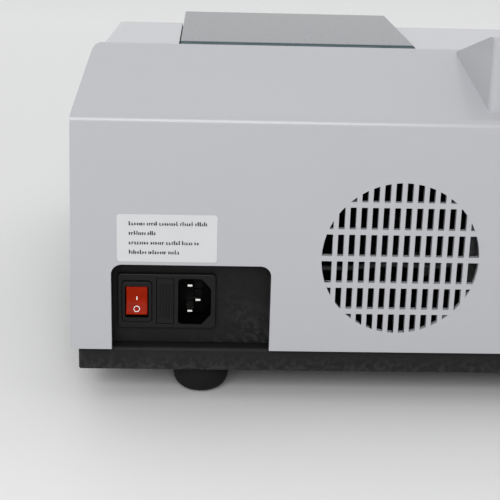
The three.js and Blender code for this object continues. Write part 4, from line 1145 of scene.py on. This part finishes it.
def wavelength_knob():
    """Skirted knob with a fluted grip, a dished cap and a white pointer line."""
    corners = [(0, 12.3), (3.3, 12.3), (3.3, 1), (20, 1, 0.4), (20, 2.6, 0.6), (17.6, 3.2, 0.6),
               (17, 16.4, 0.6), (15.6, 18, 0.8), (13.4, 18, 0.6), (12.6, 17.2, 0.8), (0, 17.0)]
    grip = fluted(mm(3.9), mm(16.6), KNOB_FLUTES, mm(0.9))
    knob = turned("wavelength_knob_fine", corners, 4, KNOB_FLUTES * 8, grip)
    at_knob = ON_SLOPE @ Matrix.Translation((mm(KNOB_X), mm(KNOB_Y), 0))
    stand_in(shade(place(knob, at_knob), 35), "wavelength_knob", MOULDED_BLACK)
    lines = [sheet("line", plan(-0.5, 0.5, 2.5, 12.0, 0.2, 2), 16.9, 17.2),
             sheet("tick", plan(-0.5, 0.5, 17.9, 19.5, 0.2, 2), 2.3, 2.75)]
    pointer = place(merged("knob_pointer", lines), at_knob)
    dress(shade(pointer), WHITE_PRINT, BODY_OF["wavelength_knob"], SLOT_OF["wavelength_knob"])


def numeral(text, size):
    """A number as a thin solid, centred on the origin."""
    curve = bpy.data.curves.new("numeral", "FONT")
    curve.body = text
    curve.size = mm(size)
    curve.extrude = mm(0.03)
    curve.align_x = "CENTER"
    curve.align_y = "CENTER"
    obj = new_object("numeral_curve", curve)
    graph = bpy.context.evaluated_depsgraph_get()
    mesh = bpy.data.meshes.new_from_object(obj.evaluated_get(graph))
    bpy.data.objects.remove(obj)
    mesh.materials.clear()
    return clean(new_object("numeral", mesh), merge=1e-7)


def dial_scale():
    """Ticks every 10 nm with a number every 50 nm, over the dial's 300 degrees."""
    marks = []
    middle = (SCALE_LOW + SCALE_HIGH) / 2
    for value in range(SCALE_LOW, SCALE_HIGH + 1, 10):
        degrees = (value - middle) * SCALE_SWEEP / (SCALE_HIGH - SCALE_LOW)
        turn = Matrix.Rotation(-math.radians(degrees), 4, "Z")
        numbered = value % 50 == 0
        length = 3.0 if numbered else 1.8
        width = 0.16 if numbered else 0.11
        tick = slab("tick", -width, width, SCALE_R - length, SCALE_R, -0.03, 0.03)
        marks.append(place(tick, turn))
        if numbered:
            inward = Matrix.Translation((0, mm(SCALE_R - 5.2), 0))
            marks.append(place(numeral(str(value), 2.7), turn @ inward))
    scale = merged("dial_scale", marks)
    place(scale, ON_SLOPE @ Matrix.Translation((mm(KNOB_X), mm(DIAL_Y), mm(DIAL_FACE + 0.02))))
    dress(shade(scale), INK, BODY_OF["wavelength_dial"], SLOT_OF["wavelength_dial"])


def index_line():
    """Red hairline across the underside of the dial window."""
    y = DIAL_WINDOW["y"]
    line = slab("index_line", KNOB_X - 0.15, KNOB_X + 0.15, y - 5, y + 5, -2.5, -2.42)
    dress(shade(on_slope(line)), RED_PRINT, "body", "clear_plastic")


def along_rod(obj):
    """Turns a piece made about +Z onto the pull rod's axis, its origin on the front wall."""
    low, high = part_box("pull_rod")
    middle = Vector(((low.x + high.x) / 2, rear(BODY_D), (low.z + high.z) / 2))
    return place(obj, Matrix.Translation(middle) @ Matrix.Rotation(-math.pi / 2, 4, "X"))


def pull_rod_knob():
    """Knurled knob on a short neck, hollow for the rod."""
    corners = [(0, -26), (7.4, -26, 1.2), (9, -24.6, 0.8), (9, -12.6, 1.2), (6.5, -8.2, 1.5), (6.5, -4, 0.5),
               (3.4, -4), (3.4, -13), (0, -13)]
    knurled = fluted(mm(-24.2), mm(-13.2), 36, mm(0.45))
    knob = along_rod(turned("pull_rod_knob_fine", corners, 5, 216, knurled))
    stand_in(shade(knob, 40), "pull_rod_knob", MOULDED_BLACK)


def rod_bushing():
    """Flanged sleeve, closed on itself around the rod."""
    corners = [(3.4, -2.2, 0.3), (9.5, -2.2, 0.7), (9.5, -0.3, 0.1), (6.6, -0.3), (6.6, 8, 0.4),
               (3.4, 8, 0.3)]
    sleeve = along_rod(turned("rod_bushing_fine", corners, 4, 64, closed=True))
    clean(sleeve, merge=1e-7)
    stand_in(shade(sleeve, 40), "rod_bushing", MOULDED_BLACK)


wavelength_knob()
dial_scale()
index_line()
pull_rod_knob()
rod_bushing()


# ---- The other pieces ----
FINISH_OF_SLOT = {
    "housing": SHELL, "lid": LID, "black_sheet": PANEL_BLACK, "black_moulding": MOULDED_BLACK, "rubber": FOAM,
    "steel": STEEL, "pin_plating": PLATED, "rocker": RED, "clear_glass": GLASS, "clear_plastic": ACRYLIC,
    "label": LABEL, "panel_film": FILM, "keycap": KEYCAP, "board": BOARD_GREEN, "dial": WHITE_DISC,
    "brass": BRASS, "bare_sheet": ALUMINIUM, "casting": CASTING, "transformer": WINDING,
    "lead_sheath": LEAD_SHEATH,
}
# The fan parts take their black deepened by painted shade of the housing's inside.
SPECIAL_FINISH = {"fan_frame": FAN_BLACK_AND_SHADE, "fan_impeller": FAN_BLACK_AND_SHADE, "fan_bracket": FAN_BLACK_AND_SHADE}
for node, obj in NODES.items():
    if not obj.hide_render:
        fine(node, SPECIAL_FINISH.get(node, FINISH_OF_SLOT[SLOT_OF[node]]))


# ---- Floor, light and camera ----
def studio():
    """A pale floor sheet under a sky that is brighter in front; the floor's colour holds painted light,
    lifted far in front for a brighter backdrop and lifted on the camera side against the body's shade.
    """
    look = Look("studio_floor")
    look.set(Specular_IOR_Level=0.25)
    gradient = look.nodes.new("ShaderNodeSeparateXYZ")
    look.links.new(look.space, gradient.inputs["Vector"])
    # Painted light: the floor's colour is lifted far in front, standing for a brighter backdrop, and lifted
    # on the camera side, against the shade around the body.
    far = look.ramp(gradient.outputs["Y"], -1.2, 0.1, 1.0, 0.0)
    near = look.ramp(gradient.outputs["Y"], 0.05, 0.28, 0.0, 1.0)
    far_painted_light = look.mix(far, (0.665, 0.665, 0.66), (0.85, 0.85, 0.845))
    look.link(look.mix(near, far_painted_light, (0.735, 0.732, 0.73)), "Base Color")
    look.link(look.ramp(look.noise(3.0), 0.3, 0.7, 0.55, 0.65), "Roughness")
    floor = block("floor_sheet", -6, 6, -6, 6, -0.02, 0.0)
    floor.data.materials.append(look.material)
    world = bpy.data.worlds.new("studio")
    bpy.context.scene.world = world
    world.use_nodes = True
    tree = world.node_tree
    background = tree.nodes["Background"]
    background.inputs["Color"].default_value = (0.985, 0.99, 1.0, 1.0)
    split = tree.nodes.new("ShaderNodeSeparateXYZ")
    tree.links.new(tree.nodes.new("ShaderNodeTexCoord").outputs["Generated"], split.inputs["Vector"])
    strength = map_range(tree, split.outputs["Y"], -0.6, 0.6, 1.0, 0.5)
    tree.links.new(strength, background.inputs["Strength"])


def softbox(name, spot, target, size, power):
    """A rectangular light at a spot, turned to its target: metres and watts."""
    light = bpy.data.lights.new(name, "AREA")
    light.shape = "RECTANGLE"
    light.size, light.size_y = size
    light.energy = power
    obj = new_object(name, light)
    obj.location = spot
    obj.rotation_euler = (Vector(target) - Vector(spot)).to_track_quat("-Z", "Y").to_euler()


VIEWPOINT = Vector((mm(170.6), REAR_Y + mm(571.0), up(248.3)))
FORWARD = Vector((-0.03439, -0.94681, -0.31995))
RIGHTWARD = Vector((-0.99930, 0.02781, 0.02513))
LENS = 86.37
SENSOR = 36.0


def camera():
    """The photo's viewpoint: behind the rear wall, looking down and slightly right."""
    data = bpy.data.cameras.new("camera")
    data.sensor_width = SENSOR
    data.lens = LENS
    data.clip_start = 0.01
    data.clip_end = 50.0
    obj = new_object("camera", data)
    axes = Matrix((RIGHTWARD, RIGHTWARD.cross(FORWARD), -FORWARD)).transposed().to_4x4()
    obj.matrix_world = Matrix.Translation(VIEWPOINT) @ axes
    bpy.context.scene.camera = obj


studio()
softbox("top_box", spot=(0.3, -0.35, 1.9), target=(0.1, 0.0, 0.1), size=(2.2, 1.6), power=2)
softbox("rear_box", spot=(0.4, 2.1, 1.25), target=(0.1, 0.1, 0.1), size=(1.6, 1.0), power=33)
softbox("side_box", spot=(1.7, 0.3, 0.45), target=(0.2, 0.1, 0.15), size=(1.0, 0.8), power=3)
camera()
bpy.context.scene.view_settings.view_transform = "Standard"
